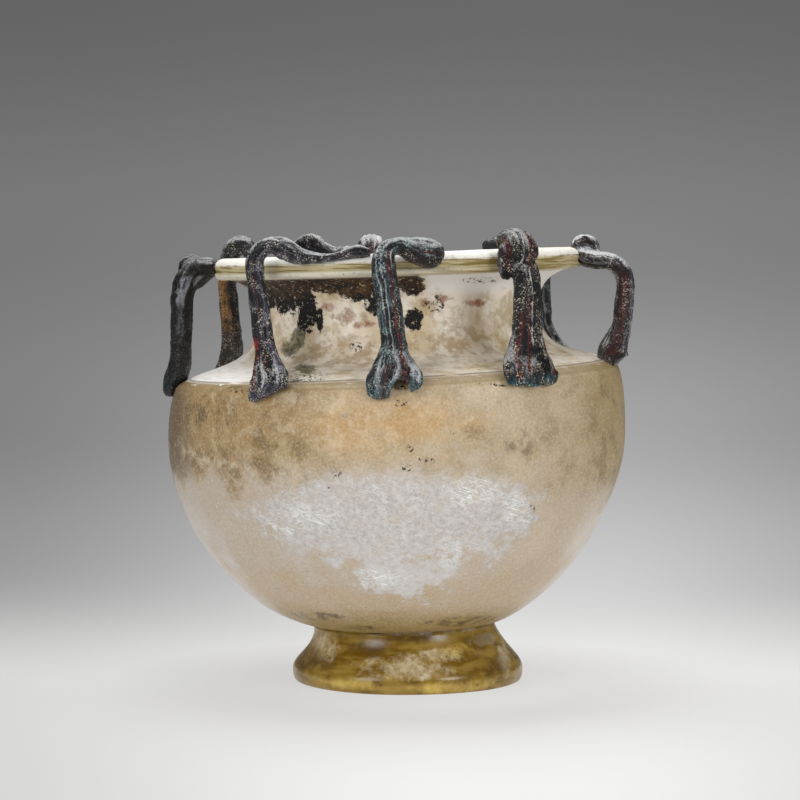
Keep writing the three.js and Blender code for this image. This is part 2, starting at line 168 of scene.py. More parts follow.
def spun(name, outline, steps, closed=False):
    """A mesh object turned from an outline of radius and height, then settled."""
    shape = bmesh.new()
    verts = [shape.verts.new((point.x, 0, point.y)) for point in outline]
    edges = [shape.edges.new(pair) for pair in zip(verts, verts[1:])]
    if closed:
        edges.append(shape.edges.new((verts[-1], verts[0])))
    bmesh.ops.spin(shape, geom=verts + edges, cent=(0, 0, 0), axis=(0, 0, 1), dvec=(0, 0, 0),
                   angle=math.tau, steps=steps, use_merge=True, use_duplicate=False)
    bmesh.ops.remove_doubles(shape, verts=shape.verts, dist=0.001)
    for vert in shape.verts:
        turn = math.degrees(math.atan2(vert.co.x, -vert.co.y))
        vert.co = settle(turn, math.hypot(vert.co.x, vert.co.y), vert.co.z)
    return as_object(name, shape)


def as_object(name, shape):
    """Turns a bmesh in millimetres into an object in metres, faces outwards and smooth."""
    bmesh.ops.scale(shape, vec=(MM, MM, MM), verts=shape.verts)
    bmesh.ops.recalc_face_normals(shape, faces=shape.faces)
    mesh = bpy.data.meshes.new(name)
    shape.to_mesh(mesh)
    shape.free()
    mesh.polygons.foreach_set("use_smooth", [True] * len(mesh.polygons))
    made = bpy.data.objects.new(name, mesh)
    bpy.context.collection.objects.link(made)
    return made


print("outlines can be spun")

# %% [markdown]
# ## The bowl
#
# One skin of glass about two millimetres thick: down the inside, across the floor, and up the
# outside to the folded rim. The shoulder turns sharply into a flat ledge before the neck rises, and
# that crease catches the light, so it gets points of its own.

# %% The bowl's outline
WALL, FLOOR = 2.1, 3.2
PONTIL_RADIUS = 6.5

# Each row: where a curve ends, how far its two pulls lie along the way, and its number of steps.
BOWL_CURVES = [
    ((BULGE_RADIUS, BULGE_HEIGHT), (0.44, 0.06), (1, 0.55), 34),
    ((SHOULDER_RADIUS, SHOULDER_HEIGHT), (0, 0.42), (0.3, 0.79), 9),
    ((SHOULDER_RADIUS - 2.9, SHOULDER_HEIGHT + 2), (0.2, 0.5), (0.6, 0.75), 5),
    ((NECK_RADIUS + 4.4, SHOULDER_HEIGHT + 6.4), (0.33, 0.41), (0.75, 0.57), 9),
    ((NECK_RADIUS, NECK_HEIGHT), (0.59, 0.17), (1, 0.43), 9),
    ((RIM_RADIUS - 2.6, RIM_TOP - RIM_BAND), (0, 0.55), (0.34, 0.88), 8),
]


def bowl_outside():
    """Outside of the bowl, from the foot joint up to the underside of the rim."""
    points = [Vector((BOWL_FOOT_RADIUS, BOWL_FOOT_HEIGHT))]
    for end, leave, arrive, steps in BOWL_CURVES:
        points.extend(bend(steps, points[-1], leave, arrive, end))
    return points


def rim_band(grow=0.0):
    """The folded lip: a rounded band with a crease where the fold closed."""
    low = RIM_TOP - RIM_BAND
    r = RIM_RADIUS + grow
    corners = [
        (r - 1.3, low - 0.1), (r - 0.6, low + 0.1), (r - 0.1, low + 0.6), (r, low + 1.2),
        (r - 0.25, low + 1.6), (r - 0.4, low + 1.8), (r - 0.2, low + 2.0), (r + 0.05, low + 2.6),
        (r - 0.05, low + 3.3), (r - 0.3, low + 4.0), (r - 0.9, low + 4.55), (r - 1.6, RIM_TOP - 0.08),
        (r - 2.3, RIM_TOP), (r - 3.0, RIM_TOP - 0.15), (r - 3.6, RIM_TOP - 0.6), (r - 4.0, RIM_TOP - 1.2),
    ]
    return [Vector(corner) for corner in corners]


def bowl_outline(grow=0.0):
    """The whole closed skin, from under the floor round the outside and back down the inside."""
    outside = bowl_outside()
    inside = [point for point in beside(outside, WALL)[::-1] if point.y < RIM_TOP - RIM_BAND - 1.5]
    floor_top = BOWL_FOOT_HEIGHT - 0.7 + FLOOR
    under = [
        (0, BOWL_FOOT_HEIGHT - 1.6), (2.4, BOWL_FOOT_HEIGHT - 1.6),
        (PONTIL_RADIUS - 1.4, BOWL_FOOT_HEIGHT - 1.4), (PONTIL_RADIUS - 0.6, BOWL_FOOT_HEIGHT - 1.9),
        (PONTIL_RADIUS, BOWL_FOOT_HEIGHT - 2.1), (PONTIL_RADIUS + 0.6, BOWL_FOOT_HEIGHT - 1.7),
        (PONTIL_RADIUS + 1.2, BOWL_FOOT_HEIGHT - 1.0), (14, BOWL_FOOT_HEIGHT - 0.8),
    ]
    floor = [
        (BOWL_FOOT_RADIUS - 1, floor_top + 2.3), (BOWL_FOOT_RADIUS - 4, floor_top + 1.2),
        (BOWL_FOOT_RADIUS - 8, floor_top + 0.5), (BOWL_FOOT_RADIUS - 12, floor_top + 0.2),
        (4, floor_top), (0, floor_top),
    ]
    lower = [Vector((radius, height - grow)) for radius, height in under]
    upper = [Vector((radius, height + grow)) for radius, height in floor]
    inner = [point for point in inside if point.y > floor_top + 3]
    return [*lower, *beside(outside, -grow), *rim_band(grow), *beside(inner, grow), *upper]


print("the bowl's outline has", len(bowl_outline()), "points")

# %% [markdown]
# The outline is turned in steps of less than two degrees, so that the rim is round at any size.

# %% Blow the bowl
BOWL_STEPS = 192
bowl = spun("bowl", bowl_outline(), BOWL_STEPS)
print("bowl:", len(bowl.data.polygons), "faces")

# %% [markdown]
# Blown glass wavers a little, so the bowl's skin is moved by a slow noise of a tenth of a
# millimetre. It is too little to measure and enough to break up the highlights.

# %% Let the skin waver
def waver(piece, size, depth, seed):
    """Moves every point along its normal by a smooth noise, but never below the floor."""
    shape = bmesh.new()
    shape.from_mesh(piece.data)
    shape.normal_update()
    for vert in shape.verts:
        where = vert.co / (size * MM) + Vector((seed, 0, 0))
        vert.co += vert.normal * noise.noise(where) * depth * MM
        vert.co.z = max(vert.co.z, 0)
    shape.to_mesh(piece.data)
    shape.free()


waver(bowl, 22, 0.16, 3.1)
waver(bowl, 7, 0.05, 9.7)
print("the bowl's skin wavers")

# %% [markdown]
# ## The foot
#
# A thick cone of clear olive glass, hollow below, with a rounded lower edge that has one narrow flat
# ring to stand on.

# %% Press on the foot
FOOT_WAIST = BOWL_FOOT_RADIUS + 0.1
FOOT_RADIUS, FOOT_WALL, FOOT_EDGE, FOOT_FLAT = FOOT_WAIST + 6, 3.0, 0.9, 1.8
SEAT = BOWL_FOOT_HEIGHT - 1.0


def foot_outline():
    """Closed outline of the foot, up the outside and down the hollow."""
    top = (FOOT_WAIST - 0.2, BOWL_FOOT_HEIGHT + 0.4)
    flare = (FOOT_WAIST + 4.9, BOWL_FOOT_HEIGHT * 0.38)
    edge = (FOOT_RADIUS, 2.6)
    rest = (FOOT_RADIUS - FOOT_EDGE, 0)
    hollow = (rest[0] - FOOT_FLAT, 0)
    crown = (FOOT_WAIST - FOOT_WALL - 1.0, SEAT)
    return [
        Vector(top),
        *bend(9, top, (0.04, 0.44), (0.55, 0.71), flare),
        *bend(5, flare, (0.7, 0.35), (1, 0.65), edge),
        *bend(6, edge, (0, 0.5), (0.35, 1), rest),
        *bend(2, rest, (0.33, 0), (0.67, 0), hollow),
        *bend(9, hollow, (0.35, 0.12), (0.55, 0.58), crown),
        Vector((FOOT_WAIST - 3.2, SEAT + 0.3)),
    ]


foot = spun("foot", foot_outline(), 160, closed=True)
waver(foot, 15, 0.12, 6.2)
print("foot:", len(foot.data.polygons), "faces")

# %% [markdown]
# ## The handles
#
# Each handle was one gather of hot glass. Its lower end splays where it was dropped on the
# shoulder, the shaft was pulled thin, and the end was folded over the rim, sometimes twice. No two
# are alike, so each has its own row of sizes, and one function draws them all: it follows a smooth
# path and extrudes a ribbed ring along it.

# %% The splay that every handle stands with
# Each row: distance outside the shoulder's edge, height above it, share of the splay, share of the
# shaft's thickness.
SPLAY = [
    (1.5, 0, 0.6, 0.5),
    (1.4, 0.8, 0.94, 0.78),
    (0.5, 2.1, 1, 0.93),
    (-0.9, 4.3, 0.74, 1),
    (-1.8, 7.1, 0.38, 1),
    (-2.2, 10.2, 0.13, 1),
]
SHAFT_STEPS = 3
HEEL_SINK = 0.85
print("every foot splays in", len(SPLAY), "rows")

# %% [markdown]
# What each handle's row says:
#
# - `root`, `waist`: degrees round from the front, of the foot and of the shaft
# - `lap`: how far the toes hang over the edge, and `slope`: how fast they rise to the right
# - `stand`: how far the shaft stands off, and `heel`: thickness added at the foot
# - `toe`, `shaft`, `depth`: width of the foot, and width and thickness of the shaft
# - `bays`: gaps between toes, as turn from the root, height above the shoulder, and radius
# - `crown`, `extra`: glass laid on the rim, as turn, distance outside it, height above it, width and
#   thickness

# %% The eight handles
HANDLES = {
    "handle_front_center": {
        "root": -0.6, "waist": -0.9, "lap": 2.0, "slope": 0.22, "stand": 0.2,
        "heel": 0, "toe": 13.6, "shaft": 5.0, "depth": 4.4,
        "bays": [(1.4, -0.5, 2.4)],
        "crown": [
            (-3.9, 5.6, -2.0, 6.0, 4.5), (-2.9, 4.2, 0.9, 4.8, 4.5), (0.3, 2.8, 1.7, 4.3, 4.8),
            (3.9, 1.8, 0.8, 6.8, 5.4), (8.5, 1.2, -0.1, 7.9, 6.2), (11.9, 0.8, -0.4, 5.8, 5.0),
            (13.4, 0.7, -0.6, 2.6, 2.6),
        ],
        "extra": [],
    },
    "handle_front_left": {
        "root": -32.8, "waist": -36.2, "lap": 1.2, "slope": 0.45, "stand": 0.1,
        "heel": 0, "toe": 10.8, "shaft": 4.6, "depth": 4.4,
        "bays": [],
        "crown": [
            (-40.9, 6.1, -3.2, 4.9, 4.5), (-41.1, 5.4, 0.4, 4.7, 4.5), (-38.0, 4.2, 2.8, 4.2, 4.5),
            (-34.2, 2.8, 2.1, 5.5, 4.6), (-30.6, 1.8, 0.6, 5.0, 4.4), (-27.0, 1.2, -0.1, 3.4, 3.8),
            (-22.6, 0.8, -0.4, 2.4, 3.2), (-18.6, 0.5, -0.2, 2.2, 3.2), (-15.4, 0, 0.4, 2.8, 3.8),
            (-12.4, -0.6, 0.8, 3.4, 4.6), (-9.6, -1.0, 0.5, 2.6, 3.8), (-8.1, -1.2, 0.2, 1.2, 2.0),
        ],
        "extra": [[
            (-12.2, -1.6, 0.8, 2.4, 2.6), (-16.4, -2.4, 0.9, 2.8, 3.0), (-20.6, -3.0, 0.8, 2.8, 3.0),
            (-24.2, -3.3, 1.9, 2.8, 3.2), (-27.2, -3.5, 3.6, 2.8, 3.2), (-30.4, -3.6, 4.2, 2.8, 3.2),
            (-33.6, -3.4, 3.1, 2.8, 3.2), (-36.2, -3.0, 0.9, 2.8, 3.2), (-37.6, -2.6, -0.4, 2.6, 2.6),
        ], [
            (-25.0, -3.2, 0.6, 1.8, 1.6), (-27.6, -3.4, 1.5, 3.4, 2.0), (-30.6, -3.5, 1.8, 4.4, 2.0),
            (-33.6, -3.4, 1.3, 3.4, 2.0),
        ]],
    },
    "handle_front_right": {
        "root": 34.2, "waist": 35.3, "lap": 1.8, "slope": 0, "stand": 0.2,
        "heel": 0, "toe": 15.6, "shaft": 7.5, "depth": 4.9,
        "bays": [(-3.2, -2.0, 1.4), (2.4, -2.2, 1.4)],
        "crown": [
            (35.7, 6.4, -8.6, 7.4, 4.9), (36.0, 5.2, -5.2, 7.6, 5.0), (36.5, 3.2, -2.9, 7.4, 4.2),
        ],
        "extra": [[
            (35.6, 5.3, -3.2, 4.4, 2.6), (35.6, 5.2, -1.7, 8.0, 4.4), (35.8, 4.4, 0.4, 8.6, 5.6),
            (36.2, 2.6, 1.9, 8.4, 5.8), (37.0, 0.2, 2.3, 8.0, 5.2), (38.4, -2.4, 2.2, 7.2, 4.6),
            (39.6, -4.4, 1.0, 5.8, 3.8), (40.2, -5.2, -0.8, 4.0, 2.6),
        ], [
            (31.4, 1.9, 1.4, 2.6, 2.4), (31.2, 2.6, -1.2, 3.8, 3.4), (31.6, 2.6, -4.4, 3.8, 3.2),
            (32.8, 2.2, -6.8, 2.8, 2.4),
        ]],
    },
    "handle_right": {
        "root": 80.0, "waist": 79.0, "lap": -0.4, "slope": 0, "stand": 3.6,
        "heel": 3.6, "toe": 9.6, "shaft": 5.4, "depth": 4.6,
        "bays": [],
        "crown": [
            (79.0, 11.0, -9.6, 5.6, 4.6), (79.0, 10.3, -6.2, 5.8, 4.6), (79.2, 7.4, -3.7, 6.0, 4.4),
            (79.4, 4.2, -3.3, 6.2, 4.6), (79.6, 1.4, -2.6, 5.6, 4.6), (79.8, -0.6, -1.1, 4.8, 3.8),
        ],
        "extra": [[
            (80.0, 0.7, -2.1, 4.8, 3.2), (80.2, -0.9, -0.7, 4.6, 3.0), (80.6, -0.8, 1.0, 4.4, 2.8),
            (81.0, 0.8, 1.8, 4.2, 2.8), (81.2, 2.6, 1.1, 3.8, 2.8), (81.4, 3.5, -0.5, 3.2, 2.4),
            (81.4, 3.7, -2.1, 2.4, 2.2),
        ]],
    },
    "handle_back_right": {
        "root": 131.2, "waist": 134.0, "lap": 1.8, "slope": 0.1, "stand": 0,
        "heel": 0, "toe": 10.2, "shaft": 5.5, "depth": 4.4,
        "bays": [(-0.6, -1.8, 2.0)],
        "crown": [
            (134.2, 6.4, -8.9, 5.6, 4.4), (133.8, 5.6, -5.0, 5.6, 4.5), (134.4, 3.8, -1.5, 5.2, 4.6),
            (138.0, 1.4, -0.3, 4.6, 4.6), (142.4, 0.2, 0.1, 4.2, 4.4), (146.0, -0.2, 1.1, 4.4, 4.2),
            (149.0, -0.4, 0.7, 3.6, 3.6), (150.6, -0.4, -0.1, 1.6, 2.0),
        ],
        "extra": [],
    },
    "handle_back_center": {
        "root": -172.2, "waist": -172.2, "lap": 1.9, "slope": -0.1, "stand": 0.2,
        "heel": 0, "toe": 12.2, "shaft": 5.7, "depth": 4.4,
        "bays": [(-0.6, -1.8, 2.1)],
        "crown": [
            (-172.2, 6.4, -7.9, 5.8, 4.4), (-172.0, 6.0, -3.6, 6.2, 4.5), (-171.6, 4.7, 0.5, 6.6, 4.6),
            (-171.2, 2.1, 2.7, 6.8, 4.8), (-170.8, -0.3, 2.0, 6.4, 4.6), (-170.4, -1.4, -0.1, 5.0, 3.6),
            (-170.4, -1.5, -1.5, 3.4, 2.6),
        ],
        "extra": [],
    },
    "handle_back_left": {
        "root": -127.2, "waist": -125.6, "lap": 1.8, "slope": -0.1, "stand": 0,
        "heel": 0, "toe": 9.8, "shaft": 6.0, "depth": 4.4,
        "bays": [(-0.6, -2.0, 1.9)],
        "crown": [
            (-122.6, 6.4, -9.1, 5.8, 4.4), (-121.2, 6.0, -4.9, 5.6, 4.5), (-120.6, 5.0, -0.4, 5.6, 4.6),
            (-120.8, 2.8, 2.9, 5.8, 4.8), (-121.6, 0.4, 2.9, 5.4, 4.6), (-122.2, -1.0, 0.4, 4.4, 3.6),
            (-122.4, -1.3, -1.3, 3.2, 2.6),
        ],
        "extra": [],
    },
    "handle_left": {
        "root": -91.0, "waist": -90.0, "lap": 2.4, "slope": 0, "stand": 1.2,
        "heel": 0.6, "toe": 9.8, "shaft": 6.1, "depth": 5.4,
        "bays": [(-1.0, -2.4, 1.7)],
        "crown": [
            (-90.0, 8.0, -8.6, 6.0, 5.9), (-90.2, 7.0, -4.6, 6.4, 5.9), (-90.6, 5.0, -2.0, 6.8, 5.4),
            (-91.0, 2.4, -1.9, 7.0, 5.0), (-91.2, 0.2, -1.9, 6.4, 4.8), (-91.2, -1.2, -1.5, 4.6, 3.6),
        ],
        "extra": [[
            (-92.2, 3.2, -0.2, 2.4, 1.8), (-92.0, 5.0, 0, 3.4, 2.6), (-91.8, 6.6, -0.1, 3.6, 3.0),
            (-91.6, 7.9, -1.1, 3.2, 2.8), (-91.4, 8.3, -2.5, 2.2, 2.0),
        ], [
            (-90.4, 5.6, -6.6, 3.4, 2.6), (-90.6, 3.8, -5.0, 4.4, 3.4), (-90.8, 2.0, -3.4, 4.8, 3.6),
            (-91.0, 0.6, -1.8, 4.4, 3.0),
        ]],
    },
}
print(len(HANDLES), "handles")

# %% [markdown]
# A station is one place along a trail: turn, distance out, height, width, thickness and rise to the
# right. The path runs smoothly through the stations, and between them the sizes are eased too.

# %% Stations of one handle
def on_rim(station):
    """A station given from the rim, measured from the axis and the table instead."""
    turn, outside, above, width, thickness = station
    return [turn, RIM_RADIUS + outside, RIM_TOP + above, width, thickness, 0]


def shaft_stations(handle):
    """Stations of the foot and the shaft, up to where the crown begins."""
    last = len(SPLAY) - 1
    stations = []
    for index, (outside, above, spread, share) in enumerate(SPLAY):
        low = max(1 - index / 2, 0)
        turned = max(index - 2, 0) / (last - 2)
        stations.append([
            handle["root"] + (handle["waist"] - handle["root"]) * turned,
            SHOULDER_RADIUS + outside + handle["stand"] * index / last - HEEL_SINK * handle["heel"] * spread,
            SHOULDER_HEIGHT + above - handle["lap"] * low,
            handle["shaft"] + (handle["toe"] - handle["shaft"]) * spread,
            handle["depth"] * share + handle["heel"] * spread,
            handle["slope"] * (low + max(1 - index / 4, 0)) * 0.5,
        ])
    start, end = stations[-1], on_rim(handle["crown"][0])
    for step in range(1, SHAFT_STEPS):
        share = step / SHAFT_STEPS
        stations.append([a + (b - a) * share for a, b in zip(start, end)])
    return stations


def eased(rows, finer):
    """Rows of numbers with more rows between them, on a smooth curve through them all."""
    ends = [rows[0], *rows, rows[-1]]
    made = []
    for a, b, c, d in zip(ends, ends[1:], ends[2:], ends[3:]):
        for step in range(finer):
            t = step / finer
            made.append([
                0.5 * (2 * q + (r - p) * t + (2 * p - 5 * q + 4 * r - s) * t * t
                       + (3 * q - p - 3 * r + s) * t**3)
                for p, q, r, s in zip(a, b, c, d)
            ])
    return [*made, list(rows[-1])]


print("a foot and shaft have", len(SPLAY) + SHAFT_STEPS - 1, "stations")

# %% [markdown]
# The ring keeps its flat side towards the bowl: its two directions are carried along the path and
# only turned as much as the path bends. Every ring is written down as a trace, because the streaks
# in the glass run along the same path and the finish asks later where on the trail it is.

# %% Draw a trail
RING_SIDES = 28
FINER = 5
ROUNDED_END = (0.55, 0.86, 0.96)


def trace(stations, start):
    """Middle, sideways and outward direction, half width, half thickness and length so far."""
    rows = eased(stations, FINER)
    middles = [settle(*row[:3]) for row in rows]
    angle = math.radians(rows[0][0])
    outward = Vector((math.sin(angle), -math.cos(angle), 0))
    traced, length = [], start
    for index, (row, middle) in enumerate(zip(rows, middles)):
        along = (middles[min(index + 1, len(rows) - 1)] - middles[max(index - 1, 0)]).normalized()
        outward = (outward - along * outward.dot(along)).normalized()
        length += (middle - middles[max(index - 1, 0)]).length
        traced.append((middle, along.cross(outward), outward, row[3] / 2, row[4] / 2, length, row[5]))
    return traced


def draw_trail(shape, traced):
    """Extrudes a ring along a trace, closed and rounded at both ends."""
    spoke = shape.verts.layers.int.get("spoke") or shape.verts.layers.int.new("spoke")
    first = bmesh.ops.create_circle(shape, cap_ends=True, segments=RING_SIDES, radius=1)["verts"]
    for number, vert in enumerate(first):
        vert[spoke] = number
    ring = first
    edges = list(dict.fromkeys(edge for vert in ring for edge in vert.link_edges))
    for index, place in enumerate(traced):
        if index:
            made = bmesh.ops.extrude_edge_only(shape, edges=edges)["geom"]
            ring = [item for item in made if isinstance(item, bmesh.types.BMVert)]
            drawn = set(ring)
            edges = [item for item in made if isinstance(item, bmesh.types.BMEdge)
                     and all(vert in drawn for vert in item.verts)]
        for vert in ring:
            vert.co = section_point(place, vert[spoke], index, len(traced))
    bmesh.ops.holes_fill(shape, edges=edges, sides=0)


def section_point(place, number, index, count):
    """One point of a trail's flattened ring. The ends are rounded off."""
    middle, sideways, outward, half_width, half_depth, _, rise = place
    angle = math.tau * number / RING_SIDES
    end = min(index, count - 1 - index)
    size = ROUNDED_END[end] if end < len(ROUNDED_END) else 1
    across = half_width * math.cos(angle) * size
    point = middle + sideways * across + outward * half_depth * math.sin(angle) * size
    point.z += rise * across
    return point


print("trails can be drawn with", RING_SIDES, "sides")

# %% [markdown]
# The strands of one handle overlap where the hot glass was folded over itself. A Remesh modifier
# with small voxels fuses them, a Smooth modifier melts the joins, and Booleans cut the bays between
# the toes and the seat on the bowl. The result is then kept as a plain mesh.

# %% Fuse, cut and keep
VOXEL = 0.30 * MM
FUSED = 0.35
BAY_STRETCH, BAY_DEPTH = 2.4, 24
CUTTER_STEPS = 96


def bay_cutter(handle, bay):
    """A tall oval rod that points at the axis, whose upper end is the arch between two toes."""
    turn, above, radius = bay
    turn += handle["root"]
    shape = bmesh.new()
    bmesh.ops.create_cone(shape, cap_ends=True, segments=32, radius1=radius, radius2=radius,
                          depth=BAY_DEPTH)
    bmesh.ops.rotate(shape, verts=shape.verts, cent=(0, 0, 0), matrix=Matrix.Rotation(math.pi / 2, 3, "X"))
    bmesh.ops.scale(shape, verts=shape.verts, vec=(1, 1, BAY_STRETCH))
    bmesh.ops.rotate(shape, verts=shape.verts, cent=(0, 0, 0),
                     matrix=Matrix.Rotation(math.radians(turn), 3, "Z"))
    place = settle(turn, SHOULDER_RADIUS, SHOULDER_HEIGHT + above)
    bmesh.ops.translate(shape, verts=shape.verts,
                        vec=place - Vector((0, 0, (BAY_STRETCH - 1) * radius)))
    return as_object("bay", shape)


def add_modifier(piece, kind, **settings):
    made = piece.modifiers.new(kind.lower(), kind)
    for name, value in settings.items():
        setattr(made, name, value)


def keep_result(piece):
    """Replaces the piece's mesh with what its modifiers make of it."""
    bpy.context.view_layer.update()
    graph = bpy.context.evaluated_depsgraph_get()
    mesh = bpy.data.meshes.new_from_object(piece.evaluated_get(graph))
    piece.modifiers.clear()
    piece.data = mesh
    mesh.polygons.foreach_set("use_smooth", [True] * len(mesh.polygons))


bowl_cutter = spun("bowl_cutter", bowl_outline(-FUSED), CUTTER_STEPS)
hollow_outline = [Vector((0, BOWL_FOOT_HEIGHT)), *[point for point in beside(bowl_outside(), FUSED)
                                                   if point.y < NECK_HEIGHT], Vector((0, NECK_HEIGHT))]
hollow_cutter = spun("hollow_cutter", hollow_outline, CUTTER_STEPS)


def pull_handle(name, handle):
    """One handle: its strands drawn, fused, and cut to the bowl."""
    traces = [trace([*shaft_stations(handle), *map(on_rim, handle["crown"])], 0)]
    for strand in handle["extra"]:
        traces.append(trace(list(map(on_rim, strand)), traces[-1][-1][5]))
    shape = bmesh.new()
    for traced in traces:
        draw_trail(shape, traced)
    piece = as_object(name.replace("handle", "trail"), shape)
    bays = [bay_cutter(handle, bay) for bay in handle["bays"]]
    add_modifier(piece, "REMESH", mode="VOXEL", voxel_size=VOXEL)
    for bay in bays:
        add_modifier(piece, "BOOLEAN", operation="DIFFERENCE", object=bay, solver="EXACT")
    add_modifier(piece, "REMESH", mode="VOXEL", voxel_size=VOXEL)
    add_modifier(piece, "SMOOTH", factor=0.5, iterations=3)
    for cut in (bowl_cutter, hollow_cutter):
        add_modifier(piece, "BOOLEAN", operation="DIFFERENCE", object=cut, solver="EXACT")
    keep_result(piece)
    for bay in bays:
        bpy.data.objects.remove(bay)
    return piece, traces


trails = {name: pull_handle(name, handle) for name, handle in HANDLES.items()}
for cut in (bowl_cutter, hollow_cutter):
    bpy.data.objects.remove(cut)
for name, (piece, traces) in trails.items():
    print(name, len(piece.data.polygons), "faces")
# %% [markdown]
# ## Writing finishes as sums
#
# A finish is a recipe of noise patterns and masks. Written as nodes by hand it would be a page of
# links, so a small class wraps one socket and lets Python's own signs add the Math nodes. Colours
# go through Mix nodes, and every pattern is read in millimetres from the bowl's axis.

# %% A wire and a finish
class Wire:
    """One output socket, on which Python can do sums."""

    def __init__(self, finish, socket):
        self.finish = finish
        self.socket = socket

    def sum(self, operation, *values):
        return self.finish.node("ShaderNodeMath", {"operation": operation}, dict(enumerate(values)))

    def __add__(self, other):
        return self.sum("ADD", self, other)

    def __sub__(self, other):
        return self.sum("SUBTRACT", self, other)

    def __rsub__(self, other):
        return self.sum("SUBTRACT", other, self)

    def __mul__(self, other):
        return self.sum("MULTIPLY", self, other)

    def __truediv__(self, other):
        return self.sum("DIVIDE", self, other)

    def __rtruediv__(self, other):
        return self.sum("DIVIDE", other, self)

    def __pow__(self, other):
        return self.sum("POWER", self, other)

    def __abs__(self):
        return self.sum("ABSOLUTE", self)

    __radd__ = __add__
    __rmul__ = __mul__

    def coat(self, mask, over):
        """This colour with another laid over it where the mask is 1."""
        return self.finish.blend(mask, self, over)

    def most(self, other):
        return self.sum("MAXIMUM", self, other)

    def rising(self, low, high):
        """0 below low, 1 above high, and smooth between. With low above high it falls."""
        return self.finish.node("ShaderNodeMapRange", {"interpolation_type": "SMOOTHSTEP"},
                                {"Value": self, "From Min": low, "From Max": high})

    def between(self, low, high, soft):
        """1 from low to high, fading over the given length outside both."""
        return self.rising(low - soft, low) * self.rising(high + soft, high)


def shade(code):
    """A colour as linear values, from the six hex digits that a colour picker shows."""
    parts = [int(code[index:index + 2], 16) / 255 for index in (0, 2, 4)]
    return [*(part / 12.92 if part <= 0.04045 else ((part + 0.055) / 1.055) ** 2.4 for part in parts), 1]


class Finish:
    """One material under way, with the helpers that its recipe needs."""

    def __init__(self, name):
        self.material = bpy.data.materials.new(name)
        self.material.use_nodes = True
        self.tree = self.material.node_tree
        self.tree.nodes.clear()

    def node(self, kind, settings=None, sockets=None, out=0):
        """Adds a node: its settings first, then the values, colours or wires of its sockets."""
        made = self.tree.nodes.new(kind)
        for name, value in (settings or {}).items():
            setattr(made, name, value)
        for key, value in (sockets or {}).items():
            if isinstance(value, Wire):
                self.tree.links.new(value.socket, made.inputs[key])
            else:
                made.inputs[key].default_value = shade(value) if isinstance(value, str) else value
        return Wire(self, made.outputs[out])

    def vector(self, operation, first, second):
        return self.node("ShaderNodeVectorMath", {"operation": operation}, {0: first, 1: second})

    def joined(self, x, y, z):
        return self.node("ShaderNodeCombineXYZ", {}, {"X": x, "Y": y, "Z": z})

    def parts(self, vector):
        first = self.node("ShaderNodeSeparateXYZ", {}, {"Vector": vector})
        return [Wire(self, socket) for socket in first.socket.node.outputs]

    def place(self):
        """Where the shaded point is, in millimetres from the bowl's axis."""
        metres = self.node("ShaderNodeTexCoord", {}, {}, "Object")
        grown = self.vector("MULTIPLY", metres, [1 / MM] * 3)
        return self.vector("SUBTRACT", grown, list(AXIS))

    def grain(self, where, size, seed=0.0, detail=3.0, rough=0.55, stretch=(1, 1, 1), twist=0.0):
        """Smooth noise between 0 and 1 with features of the given size in millimetres."""
        spread = self.vector("MULTIPLY", where, [1 / (size * part) for part in stretch])
        moved = self.vector("ADD", spread, [seed, seed * 0.7, -seed])
        return self.node("ShaderNodeTexNoise", {}, {"Vector": moved, "Scale": 1.0, "Detail": detail,
                                                    "Roughness": rough, "Distortion": twist})

    def blend(self, mask, under, over):
        """One colour over another where the mask is 1."""
        return self.node("ShaderNodeMix", {"data_type": "RGBA"}, {0: mask, 6: under, 7: over}, 2)

    def bump(self, height, depth, strength=1.0, under=None):
        """Relief from a height between 0 and 1, with its depth in millimetres."""
        sockets = {"Height": height, "Distance": depth * MM, "Strength": strength}
        if under:
            sockets["Normal"] = under
        return self.node("ShaderNodeBump", {}, sockets)

    def glass(self, **sockets):
        """A glossy body. Names of sockets are given with _ for spaces."""
        named = {name.replace("_", " "): value for name, value in sockets.items()}
        return self.node("ShaderNodeBsdfPrincipled", {}, named, "BSDF")

    def done(self, surface):
        output = self.tree.nodes.new("ShaderNodeOutputMaterial")
        self.tree.links.new(surface.socket, output.inputs["Surface"])
        return self.material


print("finishes can be written")

# %% [markdown]
# ## The weathered skin of the bowl
#
# Under the skin the glass is pale amber. Over it lie, from below to above: a lilac-cream bloom on
# the lower half, brown mottling near the shoulder, a warm glow that is painted light where light
# comes through, an olive tone at the thick right-hand edge painted as thick glass looks edge-on, the
# large torn patch where the skin flakes in silver with painted glints, and a dark crust under the
# rim. Painted shade darkens the left side, and a painted reflection pales both sides lower down.
# Each is a mask, made from ovals or from straight sides whose edges are torn by noise. Fainter
# versions of the same go right round, so that the back is as old as the front.

# %% Torn masks
def oval(x, z, spot, tear, soft):
    """1 inside an oval given as middle x and z, half width and half height. tear moves its edge."""
    across = (x - spot[0]) / spot[2]
    upward = (z - spot[1]) / spot[3]
    return (1 - across * across - upward * upward + tear).rising(0, soft)


def patch(x, z, corners, tear, soft):
    """1 inside a patch whose corners x, z are given clockwise, softened over some millimetres."""
    outside = None
    for (x0, z0), (x1, z1) in zip(corners, [*corners[1:], corners[0]]):
        length = math.hypot(x1 - x0, z1 - z0)
        right, up = (z0 - z1) / length, (x1 - x0) / length
        beyond = x * right + z * up - (x0 * right + z0 * up)
        outside = outside.most(beyond) if outside else beyond
    return (tear - outside).rising(0, soft)


def ovals(x, z, spots, tear, soft):
    """Where at least one of several ovals is."""
    whole = oval(x, z, spots[0], tear, soft)
    for spot in spots[1:]:
        whole = whole.most(oval(x, z, spot, tear, soft))
    return whole


print("masks can be torn")
